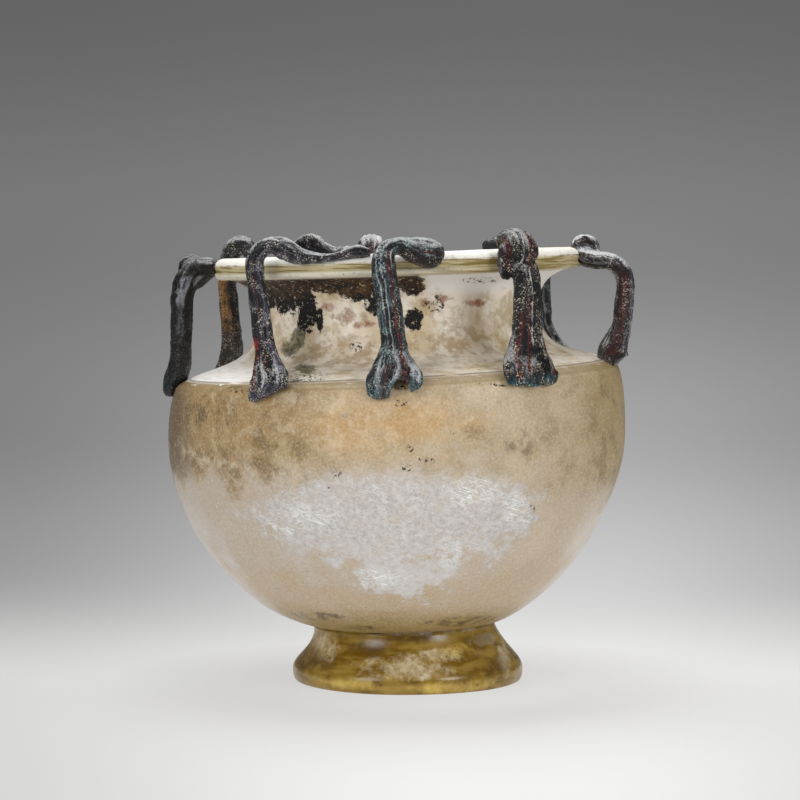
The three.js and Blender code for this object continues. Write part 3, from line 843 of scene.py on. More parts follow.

# %% [markdown]
# Where each mark lies, in millimetres from the bowl's axis and up from the floor. `SILVER`,
# `SILVER_TIP` and the glow of painted light are corners, and all others are ovals; the glints on the
# silver are painted glints.

# %% Where the marks on the bowl lie
SILVER = [
    (-35, 44), (-25, 51), (-17, 54.5), (0, 57), (22, 54.5), (32, 48), (29, 40), (20, 34), (-8, 31), (-28, 38),
]
SILVER_TIP = [(-16, 36), (20, 37), (11, 29.5), (4, 22.5), (-6, 28)]
PAINTED_GLINTS = [
    (-20, 44.5, 8, 4), (17, 50, 8, 4), (13, 36, 8, 4), (-5, 29.5, 9, 3), (-28, 41, 5, 3), (27, 46, 4, 5),
]
PAINTED_GLOW = [(-26, 66), (-14, 73), (6, 74), (22, 68), (16, 60), (-14, 58)]
SMUDGES = [(-45.5, 66.5, 2.4, 4.0), (-9, 67, 5, 3.4), (15, 63.5, 4.5, 3), (28, 61, 5, 3), (38.5, 71, 2, 1.2)]
CRUST = [
    (-30, 96.6, 9, 2.4), (-17, 97.2, 12, 2.2), (-6, 95.8, 7, 3.0), (-26, 92.6, 4.0, 3.0),
    (-21.5, 91.0, 2.2, 4.6), (-4.5, 92.4, 3.0, 2.8), (-2.6, 89.8, 1.8, 1.8), (-22.9, 86.4, 0.9, 3.8),
    (2.9, 96.6, 2.6, 2.4), (3.2, 88.6, 1.8, 2.1), (-31, 93.2, 1.8, 2.2), (-18.4, 88.4, 0.7, 2.4),
]
TONGUE = [(-23.8, 84.0, 1.8, 3.2), (-25.7, 81.2, 2.0, 2.2), (-21.4, 77.4, 3.0, 1.0)]
STAINS = [
    (-15.4, 91.0, 4.6, 1.3), (-12, 89.2, 4.6, 2.4), (-9.6, 87.4, 3.6, 1.2), (11, 93.0, 5.0, 1.3),
    (19, 92.2, 3.6, 1.0),
]
CRUMBS = [
    (6.0, 57.6, 2.2, 0.9), (1.9, 56.0, 1.4, 1.0), (30.4, 45.2, 0.9, 1.4), (0.4, 70.6, 1.6, 1.0),
    (2.4, 60.4, 1.0, 0.9), (-9.8, 82.2, 2.0, 1.4), (0.8, 75.6, 4.4, 2.4), (-37.5, 72.6, 3.4, 0.8),
    (8.6, 92.4, 3.0, 2.2), (19, 97.6, 5.0, 0.8), (-22, 75.8, 7, 1.4), (26, 74.6, 8, 0.8),
    (-14, 54.6, 1.2, 0.8),
]
JOINT_DIRT = [(-8, 15.9, 5, 0.7), (14, 17.4, 9, 1.6), (-19, 18.6, 7, 1.6)]
print(len(CRUST), "ovals of crust and", len(CRUMBS), "of crumbs")

# %% [markdown]
# The belly is built up in layers: bloom and tan below, then the brown mottling, the glow, which is
# painted light, the smudges, and the darker sides: painted shade at the left and a painted olive edge
# tone at the right.

# %% The belly
def belly_colour(finish, x, z, noises):
    """The glass below the crease, from the amber underneath to the pale line of the bloom."""
    slow, cloud, mottle, pale, tear, front = noises
    colour = finish.blend(slow.rising(0.4, 0.62), "b59f7d", "c6b190")
    bloom = (z + (cloud - 0.5) * 30 + (slow - 0.5) * 10 + (mottle - 0.5) * 8).rising(61, 46)
    bloom_colour = finish.blend((x + (cloud - 0.5) * 20).rising(-44, -16), "bcae9e", "cabeb1")
    fading = 0.9 - (x + (cloud - 0.5) * 16).rising(14, 34) * 0.55
    colour = colour.coat(bloom * fading, bloom_colour)
    tan = (z + (cloud - 0.5) * 34 + (mottle - 0.5) * 10).rising(38, 22)
    colour = colour.coat(tan * 0.8, "c2a884")
    colour = colour.coat((z + (mottle - 0.5) * 6 + (cloud - 0.5) * 6).rising(23, 16) * 0.85, "9f8240")

    high = (z + (cloud - 0.5) * 26 + (mottle - 0.5) * 9).rising(48, 60)
    left = (x + (slow - 0.5) * 22 + (cloud - 0.5) * 10).rising(-4, -27)
    colour = colour.coat(left * high * 0.85, "a4844e")
    blotch = (cloud * 0.55 + mottle * 0.45).rising(0.47, 0.6)
    colour = colour.coat(high * blotch * (left * 0.7 + 0.12), "77592b")
    colour = colour.coat(high * (slow * 0.4 + cloud * 0.6).rising(0.5, 0.62) * (left * 0.3 + 0.22), "8a7346")
    colour = colour.coat(high * pale * (left * 0.3 + 0.15), "d3c09c")
    # Painted light: a warm glow where light comes through the glass, painted into the colour.
    painted_glow = patch(x, z, PAINTED_GLOW, tear * 14 + 2, 9) * front
    painted_glow_colour = finish.blend(pale * 0.7 + mottle.rising(0.45, 0.6) * 0.3, "c99e62", "e6caa2")
    colour = colour.coat(painted_glow * 0.8, painted_glow_colour)
    smudge = ovals(x, z, SMUDGES, tear * 4, 2) * front
    colour = colour.coat(smudge * (mottle.rising(0.35, 0.6) * 0.5 + 0.25), "6b5636")
    # Painted shade: the far left of the belly is darkened where it turns away from the light.
    painted_shade_side = (x + (cloud - 0.5) * 5).rising(-45, -54) * (z + (cloud - 0.5) * 8).rising(48, 54)
    colour = colour.coat(painted_shade_side * 0.9, "583f12")
    # Painted: the right-hand edge is darkened to the deeper olive that thick glass shows seen edge-on.
    edge = (x + (cloud - 0.5) * 16).rising(34, 52) * (z + (cloud - 0.5) * 16).rising(38, 56)
    colour = colour.coat(edge * 0.8, finish.blend(blotch, "9a8044", "7b642f"))
    boundary = (z + x * 0.12 + (cloud - 0.5) * 8).between(50, 51, 3) * x.rising(-14, -24)
    colour = colour.coat(boundary * mottle.rising(0.4, 0.6) * 0.5, "75603e")
    return colour.coat(boundary * pale * 0.4, "e6d9bf")


print("the belly has its layers")

# %% [markdown]
# The silver is skin that flakes off. Its edge is torn by fine noise, and clusters of thin bright
# lines cross it in three directions, as brushed metal has them. The lines are painted glints.

# %% The silvery patch
def silver_over(finish, where, x, z, colour, noises):
    """Lays the torn silvery patch and its painted glints over a colour, and returns it with the patch and its
    flakes.
    """
    slow, cloud, mottle, shred, tear, front = noises
    torn = tear * 13 + (shred - 0.5) * 9 + 1
    silver = patch(x, z, SILVER, torn, 3.4).most(patch(x, z, SILVER_TIP, torn, 3.4)) * front
    around = (slow + (mottle - 0.5) * 0.5).rising(0.54, 0.6) * z.between(26, 62, 5)
    silver = silver.most(around * (1 - front) * 0.8) * (z + (cloud - 0.5) * 16).rising(62, 49)
    flake = finish.grain(where, 1.2, seed=6.2, detail=7, rough=0.8, twist=0.4)
    silver_colour = finish.blend(flake.rising(0.35, 0.65), "b4aca5", "d8d4d1")
    silver_colour = silver_colour.coat((z + (cloud - 0.5) * 8).rising(42, 28) * 0.7, "dad5d1")
    colour = colour.coat(silver * mottle.rising(0.2, 0.55), silver_colour)
    # Painted glints: thin white lines that stand in for light caught by the flakes.
    painted_glint_clusters = ovals(x, z, PAINTED_GLINTS, tear * 1.8, 1.4) * front
    for angle, seed, amount in ((-0.35, 4.4, 1.0), (0.3, 7.9, 0.8), (-1.1, 2.7, 0.6)):
        brushed = finish.node("ShaderNodeVectorRotate", {"rotation_type": "Y_AXIS"},
                              {"Vector": where, "Angle": angle})
        lines = finish.grain(brushed, 0.62, seed=seed, detail=4, rough=0.7, stretch=(5, 5, 0.3))
        painted_glint = lines.rising(0.55, 0.585) * (painted_glint_clusters * 0.8 + 0.2) * silver.rising(0.1, 0.7)
        colour = colour.coat(painted_glint * amount, "ffffff")
    return colour, silver, flake


print("the silver is torn")

# %% [markdown]
# Above the crease the glass is whitened on its upper faces; the glare on the ledge at the left and the
# white along the top of the rim are painted highlights. The rim keeps its olive in the fold.

# %% The neck and the rim
def neck_colour(finish, places, noises):
    """The shoulder and the neck: cream with stains, a frosted skin at the right brightened with painted
    light, and a painted glare at the left.
    """
    x, z, shoulder, rim_height = places
    cloud, mottle, dust, drawn, tear, front = noises
    colour = finish.blend(cloud.rising(0.38, 0.62), "f2e8d8", "dcc8a8")
    colour = colour.coat(mottle.rising(0.46, 0.6) * 0.5, "b0935f")
    colour = colour.coat(dust.rising(0.5, 0.72) * 0.5, "f6f0e4")
    flat = shoulder.rising(81, 78)
    colour = colour.coat(flat * drawn.rising(0.4, 0.62) * 0.8, "f6efe2")
    brown = (shoulder + (cloud - 0.5) * 12).between(79, 84, 3) * mottle.rising(0.42, 0.58)
    colour = colour.coat(brown * 0.32, "9c7c50")
    # A frosted skin at the upper right, made whiter than the skin itself as painted light that comes through
    # the glass under the rim.
    frost_and_painted_light = (rim_height + (cloud - 0.5) * 6).rising(92, 95.5) * x.rising(4, 8)
    colour = colour.coat(frost_and_painted_light * 0.95, "fbf9f6")
    # Painted glare: the ledge at the far left is whitened where the light from above strikes it.
    wear_and_painted_glare = (x + (cloud - 0.5) * 14).rising(-30, -40) * (shoulder + (mottle - 0.5) * 6).rising(84, 79)
    colour = colour.coat(wear_and_painted_glare * (0.7 + drawn.rising(0.4, 0.6) * 0.3), "fbf9f5")
    olive = oval(x, z, (25, 89, 8, 7), tear * 1.4, 1.4) * front
    colour = colour.coat(olive * 0.5, "a3915a")
    stain = ovals(x, z, STAINS, tear * 5, 1.4) * front
    colour = colour.coat(stain * mottle.rising(0.25, 0.5), "9a5f30")
    return colour.coat(stain.rising(0, 0.3) * (1 - stain) * 0.35, "8d8088")


def rim_colour(finish, where, x, rim_height, mottle):
    """The folded rim: olive in the fold, a painted highlight on top, and whitened along its lower edge."""
    fold = finish.grain(where, 1.3, seed=3.9, detail=4, stretch=(9, 9, 0.4))
    colour = finish.blend(fold.rising(0.42, 0.58), "867338", "c6b78c")
    low_edge = (rim_height + (fold - 0.5) * 1.8).rising(100.2, 99.4) * x.rising(24, -6)
    colour = colour.coat(low_edge * 0.8, "ece6d6")
    # Painted highlight: the top of the rim is whitened where the light from above catches it.
    top = (rim_height + (mottle - 0.5) * 1.0 + (fold - 0.5) * 1.4).rising(101.3, 102.1)
    colour = colour.coat(top * 0.95, "fdf9f0")
    # Wear on the rim: brown spots and dark pits.
    wear_and_painted_glare = finish.grain(where, 1.1, seed=15.1, detail=4, rough=0.75)
    colour = colour.coat(wear_and_painted_glare.rising(0.55, 0.66) * 0.35, "8d7a4c")
    return colour.coat(wear_and_painted_glare.rising(0.67, 0.69) * rim_height.rising(102.6, 101.8), "2c2012")


print("neck and rim have their layers")

# %% [markdown]
# A darker olive band lies under the crease, and dirt gathers in a crust under the rim and at the joint with
# the foot.

# %% Crease, crust and dirt
def crease_over(colour, shoulder, drawn, mottle):
    """A darker olive band below the crease, painted glints along it and a dark line above it."""
    colour = colour.coat(shoulder.between(73.9, 75.0, 0.5) * (drawn * 0.8 + 0.2) * 0.75, "8a7649")
    # Painted glints: bright sparks along the crease where it catches the light.
    painted_crease_glint = drawn.rising(0.56, 0.62) * shoulder.between(74.9, 75.4, 0.12) * mottle.rising(0.46, 0.6)
    colour = colour.coat(painted_crease_glint, "fffbee")
    return colour.coat(shoulder.between(75.5, 75.65, 0.15) * drawn.rising(0.3, 0.5) * 0.75, "6b573b")


def crust_mask(finish, where, places, noises):
    """1 on the crust under the rim, on the crumbs and on scattered dots."""
    x, z, rim_height = places
    cloud, mottle, torn, front = noises
    crust = ovals(x, z, CRUST, torn + 0.3, 0.1) * front
    holes = finish.grain(where, 0.9, seed=14.6, detail=4, rough=0.7).rising(0.6, 0.63)
    crust = crust * (1 - holes * 0.9)
    behind = (cloud * 0.5 + mottle * 0.5).rising(0.53, 0.56) * z.rising(88, 93) * (1 - front)
    crumb = finish.grain(where, 0.75, seed=18.4, detail=4, rough=0.75).rising(0.55, 0.57)
    crumbs = ovals(x, z, CRUMBS, torn * 0.4, 0.5) * front * crumb
    dots = finish.grain(where, 0.8, seed=12.2, detail=3, rough=0.6).rising(0.73, 0.745)
    return crust.most(behind).most(crumbs).most(dots) * rim_height.rising(99.4, 98.6)


def dirt_over(finish, places, colour, crust, noises):
    """Lays the crust, the green-black tongue below it and the dirt at the foot joint over a colour."""
    x, z, rim_height = places
    mottle, shred, torn, front = noises
    brown = (rim_height + (mottle - 0.5) * 8).rising(93.2, 95.4) * shred.rising(0.4, 0.58)
    brown_colour = finish.blend(mottle.rising(0.4, 0.6), "2c1e12", "684a2a")
    colour = colour.coat(crust, finish.blend(brown, "0c0805", brown_colour))
    tongue = ovals(x, z, TONGUE, torn * 0.8, 0.4) * front
    colour = colour.coat(tongue * 0.9, finish.blend(shred.rising(0.42, 0.58), "2a251a", "938c70"))
    dirt = ovals(x, z, JOINT_DIRT, torn * 0.8, 0.6) * front
    return colour.coat(dirt * mottle.rising(0.42, 0.6) * 0.8, "5a4826")


print("dirt can be laid")

# %% [markdown]
# All layers come together here, over a shared set of noises from slow clouds to fine dust.

# %% The bowl's finish
def bowl_finish():
    finish = Finish("weathered_bowl")
    where = finish.place()
    x, y, z = finish.parts(where)
    from_axis = (x * x + y * y) ** 0.5
    shoulder = z - x * 0.0515 + y * 0.008
    rim_height = z - x * 0.034 + y * 0.012
    front = y.rising(2, -10)
    slow = finish.grain(where, 17, seed=2.3)
    cloud = finish.grain(where, 8, seed=5.1, detail=5)
    mottle = finish.grain(where, 3.2, seed=8.7, detail=6, rough=0.65)
    dust = finish.grain(where, 0.6, seed=1.9, detail=4, rough=0.75)
    shred = finish.grain(where, 1.2, seed=9.4, detail=6, rough=0.8, twist=0.5)
    drawn = finish.grain(where, 1.2, seed=7.5, detail=4, stretch=(5, 5, 0.45))
    pale = finish.grain(where, 5, seed=4.9, detail=6, rough=0.65, twist=0.6).rising(0.48, 0.66)
    tear = (cloud - 0.5) * 1.1 + (mottle - 0.5) * 0.9
    torn = tear * 2.0 + (shred - 0.5) * 5.0

    colour = belly_colour(finish, x, z, (slow, cloud, mottle, pale, tear, front))
    # Painted reflection: both sides of the belly are paled lower down, as glass seen edge-on reflects the
    # pale floor.
    painted_edge_reflection = (abs(x) / from_axis + (cloud - 0.5) * 0.3).rising(0.8, 1.0)
    painted_edge_reflection = painted_edge_reflection * (z + (cloud - 0.5) * 30).rising(54, 36)
    colour = colour.coat(painted_edge_reflection * 0.65, "e3dedb")
    colour = colour.coat(dust.rising(0.45, 0.7) * 0.35, "ece2d2")
    colour = colour.coat(dust.rising(0.45, 0.3) * 0.3, "7d6647")
    noises = (slow, cloud, mottle, shred, tear, front)
    colour, silver, flake = silver_over(finish, where, x, z, colour, noises)

    ledge = (shoulder + (dust - 0.5) * 0.3).rising(75.15, 75.5)
    noises = (cloud, mottle, dust, drawn, tear, front)
    colour = colour.coat(ledge, neck_colour(finish, (x, z, shoulder, rim_height), noises))
    colour = crease_over(colour, shoulder, drawn, mottle)
    places = (x, z, rim_height)
    crust = crust_mask(finish, where, places, (cloud, mottle, torn, front))
    colour = dirt_over(finish, places, colour, crust, (mottle, shred, torn, front))
    rim = rim_height.rising(98.0, 98.5) * from_axis.rising(35.4, 36.4)
    colour = colour.coat(rim, rim_colour(finish, where, x, rim_height, mottle))

    rough = 0.3 + mottle * 0.2 + silver * 0.08 + crust * 0.35
    relief = finish.bump(dust, 0.05, 0.6)
    relief = finish.bump(silver * flake, 0.12, 0.8, relief)
    relief = finish.bump(crust, 0.25, 1.0, relief)
    relief = finish.bump(drawn * ledge, 0.10, 0.5, relief)
    surface = finish.glass(Base_Color=colour, Roughness=rough, Normal=relief, IOR=1.5)
    return finish.done(surface)


bowl.data.materials.append(bowl_finish())
print("the bowl has", len(bowl.active_material.node_tree.nodes), "nodes")

# %% [markdown]
# ## The foot's olive glass
#
# The foot is clearer than the bowl. Deep olive shows through at its sides and under the joint,
# darkened there with painted shade; a painted gold glow lies where light gathers, and a grey-white
# film covers part of it.

# %% The foot's finish
FILM = [(2, 6.4, 13, 3.6), (10, 8.6, 8, 2.2), (-18, 9.4, 4.0, 4.0), (25.4, 7.4, 2.0, 4.6), (20, 11, 4, 1.6)]
DEEP_AND_PAINTED_SHADE = [
    (-7, 10.0, 7.0, 2.4), (-22, 6.0, 6.6, 4.4), (22.5, 4.6, 4.2, 3.6), (19, 11, 5, 2.4), (4, 12.6, 9, 1.4),
]
PAINTED_GOLD_LIGHT = [(14, 9.6, 5.4, 2.0), (12, 1.8, 14, 2.0), (-12, 2.2, 8, 1.6)]
JOINT_CRUST = [(-6, 14.2, 4.0, 0.7), (21, 14.6, 3, 0.6)]


def foot_finish():
    finish = Finish("olive_foot")
    where = finish.place()
    x, y, z = finish.parts(where)
    front = y.rising(2, -6)
    slow = finish.grain(where, 9, seed=1.4)
    cloud = finish.grain(where, 4, seed=4.8, detail=5)
    mottle = finish.grain(where, 1.4, seed=2.6, detail=6, rough=0.7)
    drawn = finish.grain(where, 2.4, seed=7.7, detail=4, stretch=(2.5, 2.5, 0.6))
    tear = (cloud - 0.5) * 1.8 + (mottle - 0.5) * 1.4

    colour = finish.blend(slow.rising(0.4, 0.6), "715200", "927322")
    colour = colour.coat(drawn.rising(0.4, 0.66) * 0.5, "b4974a")
    film = ovals(x, z, FILM, tear * 1.6, 1.4) * front
    film = film.most((cloud + (slow - 0.5) * 0.6).rising(0.52, 0.64) * (1 - front) * 0.7)
    film_colour = finish.blend(mottle.rising(0.35, 0.65), "bba67c", "dfcfb0")
    colour = colour.coat(film * 0.85, film_colour)
    # Deep olive at the sides and under the joint: the glass's own colour, darkened further as painted shade.
    deep_and_painted_shade = ovals(x, z, DEEP_AND_PAINTED_SHADE, tear * 1.2, 1.6) * front
    colour = colour.coat(deep_and_painted_shade * 0.85, "4c3000")
    # Painted light: gold where light gathers in the clear glass, near the lower edge and at the right.
    painted_gold_light = ovals(x, z, PAINTED_GOLD_LIGHT, tear * 1.2, 1.8) * front
    colour = colour.coat(painted_gold_light * 0.85, "e6c766")
    joint = (z + (mottle - 0.5) * 1.6).rising(13.2, 14.4)
    joint_colour = finish.blend(cloud.rising(0.42, 0.6), "8a7344", "cfc5b6")
    colour = colour.coat(joint * cloud.rising(0.4, 0.6) * 0.9, joint_colour)
    crust = ovals(x, z, JOINT_CRUST, tear, 0.4) * front
    dots = finish.grain(where, 0.9, seed=12.2, detail=2).rising(0.73, 0.75)
    crust = crust.most(dots)
    colour = colour.coat(crust * 0.9, "2c2112")

    rough = 0.24 + film * 0.2 + joint * 0.2 + crust * 0.4
    relief = finish.bump(mottle, 0.05, 0.5)
    relief = finish.bump(film + crust, 0.06, 0.5, relief)
    surface = finish.glass(Base_Color=colour, Roughness=rough, Normal=relief, IOR=1.5)
    return finish.done(surface)


foot.data.materials.append(foot_finish())
print("the foot has", len(foot.active_material.node_tree.nodes), "nodes")

# %% [markdown]
# ## Streaks that follow the trails
#
# The dark glass was a bundle of colours drawn out together: nearly black, purple, red, lilac-grey
# and teal. The streaks run along each trail, so every point of a handle is told where on its trail
# it lies: how far across, how far along, and how far out. That goes into an attribute that the
# finish reads. A second one says how far the surface looks up, because a pale film lies on top and
# the light from above is painted there with it.

# %% Tell each point where on its trail it lies
RIB_PITCH = 1.2
RIB_HEIGHT = 0.16


def rib(wide, across, point):
    """Height of the drawn ribs in millimetres, which wander and fade a little along the trail."""
    wander = noise.noise(point * 0.11) * 2.4
    ribs = math.cos(math.tau * (wide / RIB_PITCH) * (1 - 0.25 * min(abs(across), 1)) + wander)
    rough = noise.noise(point * 1.1) * 0.10 + noise.noise(point * 0.45) * 0.16
    return (ribs - 0.9) * RIB_HEIGHT * (0.5 + noise.noise(point * 0.2)) + rough - 0.12


def along_trail(piece, traces):
    """Writes the attributes trail (across, along, outward) and lie, and raises the drawn ribs."""
    places = [place for traced in traces for place in traced]
    tree = kdtree.KDTree(len(places))
    for index, place in enumerate(places):
        tree.insert(place[0], index)
    tree.balance()
    shape = bmesh.new()
    shape.from_mesh(piece.data)
    shape.normal_update()
    layer = shape.verts.layers.float_vector.new("trail")
    lie = shape.verts.layers.float.new("lie")
    for vert in shape.verts:
        point = vert.co / MM
        best = None
        for _, index, _ in tree.find_n(point, 6):
            middle, sideways, outward, half_width, half_depth, length, _ = places[index]
            away = point - middle
            across, out = away.dot(sideways), away.dot(outward)
            reach = math.hypot(across / half_width, out / half_depth) + away.length * 0.05
            if best is None or reach < best[0]:
                ahead = away - sideways * across - outward * out
                best = (reach, across / half_width, length + ahead.length * 0.5, out / half_depth, across)
        _, across, length, out, wide = best
        vert[layer] = (across, length, out)
        vert[lie] = vert.normal.z
        vert.co += vert.normal * rib(wide, across, point) * MM
    shape.to_mesh(piece.data)
    shape.free()


for piece, traces in trails.values():
    along_trail(piece, traces)
print("streaks have something to follow")

# %% [markdown]
# Each handle gets its own mix. `ground` is the dark glass, `veil` the lighter glass drawn through it
# and `tint` a second colour in patches. `film` is the pale weathering on top, with painted light from
# above laid in it, and `milk` the same in patches, `toes` tints the splayed end, and `flecks` is how
# many fine white grains there are.
# `stripes` are single threads: colour, middle and half width across the trail, from and to which
# height, and strength. They are drawn over the rest. The pale one down the middle of the front right
# handle is a painted highlight along its ridge.

# %% The dark trailed glass
# The pale colour serves pale threads, and, down the middle of the front right handle, a painted highlight
# along its ridge.
RED, BRIGHT_RED, LILAC, PALE_THREAD_AND_PAINTED_HIGHLIGHT, GOLD_BROWN = "560a0e", "b81a16", "6f6a7e", "bcbfc4", "94682c"
TRAIL_MIXES = {
    "handle_front_center": {
        "ground": "0d1216", "veil": "6a7a82", "tint": "35656c", "veiled": 0.9, "toes": "4b6a6e",
        "film": 0.6, "milk": 0.3, "flecks": 0.55, "stripes": [
            (RED, 0.42, 0.17, 75, 104, 0.95), ("241012", 0.8, 0.2, 80, 104, 0.8),
            (PALE_THREAD_AND_PAINTED_HIGHLIGHT, -0.1, 0.07, 82, 101, 0.8), (PALE_THREAD_AND_PAINTED_HIGHLIGHT, -0.45, 0.06, 84, 103, 0.6),
            (RED, -0.35, 0.2, 71, 79, 0.5), ("a9a1a6", 0.1, 0.2, 77, 83, 0.5)],
    },
    "handle_front_left": {
        "ground": "08080f", "veil": "444653", "tint": "40344a", "veiled": 0.75, "toes": "5e5b6c",
        "film": 0.7, "milk": 0.15, "flecks": 0.8, "stripes": [
            (RED, 0.15, 0.14, 78, 100, 0.7), (LILAC, 0.78, 0.14, 78, 104, 0.7), (RED, -0.6, 0.2, 73, 84, 0.8),
            (BRIGHT_RED, -0.5, 0.22, 80.4, 83.6, 1), ("13202e", -0.1, 0.2, 80, 104, 0.6)],
    },
    "handle_front_right": {
        "ground": "030405", "veil": "23292e", "tint": "311216", "veiled": 0.6, "toes": "37848c",
        "film": 0.4, "milk": 0.05, "flecks": 0.8, "stripes": [
            (RED, -0.6, 0.12, 76, 90, 0.95), (RED, -0.2, 0.12, 78, 93, 1.0),
            (PALE_THREAD_AND_PAINTED_HIGHLIGHT, -0.02, 0.05, 84, 100, 1.0), (RED, 0.72, 0.12, 75, 84, 0.9),
            ("8f8790", 0.88, 0.1, 80, 102, 0.7), (RED, 0.1, 0.2, 101, 112, 0.8),
            (PALE_THREAD_AND_PAINTED_HIGHLIGHT, -0.4, 0.06, 102, 112, 0.9), (RED, 0.5, 0.1, 103, 112, 0.8)],
    },
    "handle_right": {
        "ground": "150b0e", "veil": "9c9ca6", "tint": "6d636c", "veiled": 0.85, "toes": "c3c1c4",
        "film": 1.0, "milk": 0.7, "flecks": 0.5, "stripes": [
            ("1c0608", -0.95, 0.34, 79, 100, 0.95), (RED, -0.95, 0.12, 80, 98, 0.6),
            (RED, 0.1, 0.3, 76, 98, 0.5)],
    },
    "handle_back_right": {
        "ground": "060808", "veil": "2c3132", "tint": "1f4f55", "veiled": 0.6, "toes": "a8b0ae",
        "film": 0.35, "milk": 0.15, "flecks": 0.3, "stripes": [(PALE_THREAD_AND_PAINTED_HIGHLIGHT, -0.8, 0.1, 76, 98, 0.4)],
    },
    "handle_back_center": {
        "ground": "0c0c12", "veil": "565666", "tint": "4a1418", "veiled": 0.7, "toes": "5a6a74",
        "film": 0.9, "milk": 0.35, "flecks": 0.4, "stripes": [(RED, -0.2, 0.2, 74, 106, 0.6)],
    },
    "handle_back_left": {
        "ground": "0a0f14", "veil": "3a414c", "tint": "2a2024", "veiled": 0.6, "toes": "2a2420",
        "film": 0.5, "milk": 0.1, "flecks": 0.4, "stripes": [
            (GOLD_BROWN, 0.85, 0.5, 84, 98, 0.85), ("3f2c18", 0.8, 0.5, 74, 86, 0.7),
            (RED, -0.2, 0.14, 76, 96, 0.4)],
    },
    "handle_left": {
        "ground": "010102", "veil": "121215", "tint": "08090b", "veiled": 0.2, "toes": "24302f",
        "film": 0.35, "milk": 0.03, "flecks": 0.12, "stripes": [
            ("8f8f97", 1.0, 0.13, 91.5, 97, 0.95), ("5d5e64", 1.0, 0.09, 84, 91, 0.5)],
    },
}
print(sum(len(mix["stripes"]) for mix in TRAIL_MIXES.values()), "threads on eight handles")

# %% [markdown]
# The mixes become finishes. The ground, the veil and the tint are drawn out into streaks, the film is
# laid where the glass looks up, with painted light from above in it, then come the single threads, and
# fine pits and grains last.

# %% The handles' finish
def drawn_glass(finish, mix, z, noises):
    """The dark ground with lighter and coloured glass drawn through it, and its tinted toes."""
    cloud, streak, thin = noises
    tinted = cloud.rising(0.46, 0.6) * streak.rising(0.4, 0.55) * 0.9
    colour = finish.blend(tinted, mix["ground"], mix["tint"])
    colour = colour.coat(streak.rising(0.46, 0.6) * thin * mix["veiled"], mix["veil"])
    milk = (cloud + (streak - 0.5) * 0.6).rising(0.56, 0.68) * thin
    colour = colour.coat(milk * mix["milk"], "a6a7ae")
    toe = (z + (cloud - 0.5) * 5).rising(77, 73)
    return colour.coat(toe * 0.8 * thin, mix["toes"])


def threads_over(colour, stripes, z, bent, broken):
    """Lays single threads over a colour."""
    for code, middle, half, low, high, amount in stripes:
        near = abs(bent - middle).rising(half, half * 0.4) * z.between(low, high, 1.4)
        colour = colour.coat(near * broken * amount, code)
    return colour


def grains_over(colour, amount, cloud, mottle, grains):
    """Lays dark pits and white grains over a colour, and returns it with the mask of the grains."""
    pits = grains.rising(0.47, 0.38) * mottle.rising(0.36, 0.5)
    colour = colour.coat(pits * 0.7, "060506")
    fleck = grains.rising(0.56, 0.62) * (cloud * 0.6 + mottle * 0.4).rising(0.46, 0.56)
    fleck = fleck.most(mottle.rising(0.63, 0.67) * cloud.rising(0.48, 0.56))
    return colour.coat(fleck * amount, "e0dac4"), fleck


def trail_finish(name, mix, seed):
    finish = Finish("trailed_" + name)
    where = finish.place()
    z = finish.parts(where)[2]
    trail = finish.node("ShaderNodeAttribute", {"attribute_name": "trail"}, {}, "Vector")
    looks_up = finish.node("ShaderNodeAttribute", {"attribute_name": "lie"}, {}, "Fac")
    across, along, out = finish.parts(trail)
    sway = finish.grain(where, 7, seed=seed)
    cloud = finish.grain(where, 2.6, seed=seed + 3, detail=5)
    mottle = finish.grain(where, 0.9, seed=seed + 5, detail=5, rough=0.7)
    grains = finish.grain(where, 0.34, seed=seed + 6, detail=2, rough=0.6)
    bent = across + (sway - 0.5) * 0.5 + (cloud - 0.5) * 0.2
    broad = finish.joined(bent * 3.2, along * 0.09, out * 1.6)
    fine = finish.joined(bent * 9, along * 0.22, out * 5)
    streak = finish.grain(broad, 1, seed=seed + 7, detail=4, rough=0.6)
    hair = finish.grain(fine, 1, seed=seed + 9, detail=5, rough=0.7)

    colour = drawn_glass(finish, mix, z, (cloud, streak, hair.rising(0.4, 0.6)))
    # The film lies where the surface looks up: partly pale weathering, partly painted light from above.
    film = looks_up + (streak - 0.5) * 2.4 + (hair - 0.5) * 1.6 + (cloud - 0.5) * 0.8
    film = film.rising(0.35, 0.85)
    colour = colour.coat(film * mix["film"], "dcdde0")
    broken = (hair * 0.6 + cloud * 0.4).rising(0.4, 0.53)
    colour = threads_over(colour, mix["stripes"], z, bent, broken)
    colour, fleck = grains_over(colour, mix["flecks"], cloud, mottle, grains)

    rough = 0.08 + cloud * 0.14 + fleck * 0.3 + film * 0.15
    relief = finish.bump(hair, 0.34, 1.0)
    relief = finish.bump(mottle, 0.24, 1.0, relief)
    surface = finish.glass(Base_Color=colour, Roughness=rough, Normal=relief, IOR=1.52,
                           Specular_IOR_Level=0.35)
    return finish.done(surface)


for number, (name, (piece, traces)) in enumerate(trails.items()):
    piece.data.materials.clear()
    piece.data.materials.append(trail_finish(name, TRAIL_MIXES[name], 11.0 + 2.7 * number))
print("eight handles of dark glass")

# %% [markdown]
# ## The floor and the light
#
# The vessel stands on a pale sweep that turns grey with distance. Near the vessel the sweep is lit
# and takes its shadow. Closest to the foot it shines more by itself, which keeps the shadow as soft
# as light through glass makes it. Far away the sweep and the world show a plain grey to the camera
# and in reflections. A large soft lamp above whitens every upper face, and two more at the front keep
# the glass readable.

# %% Floor
FLOOR_RADIUS = 4000


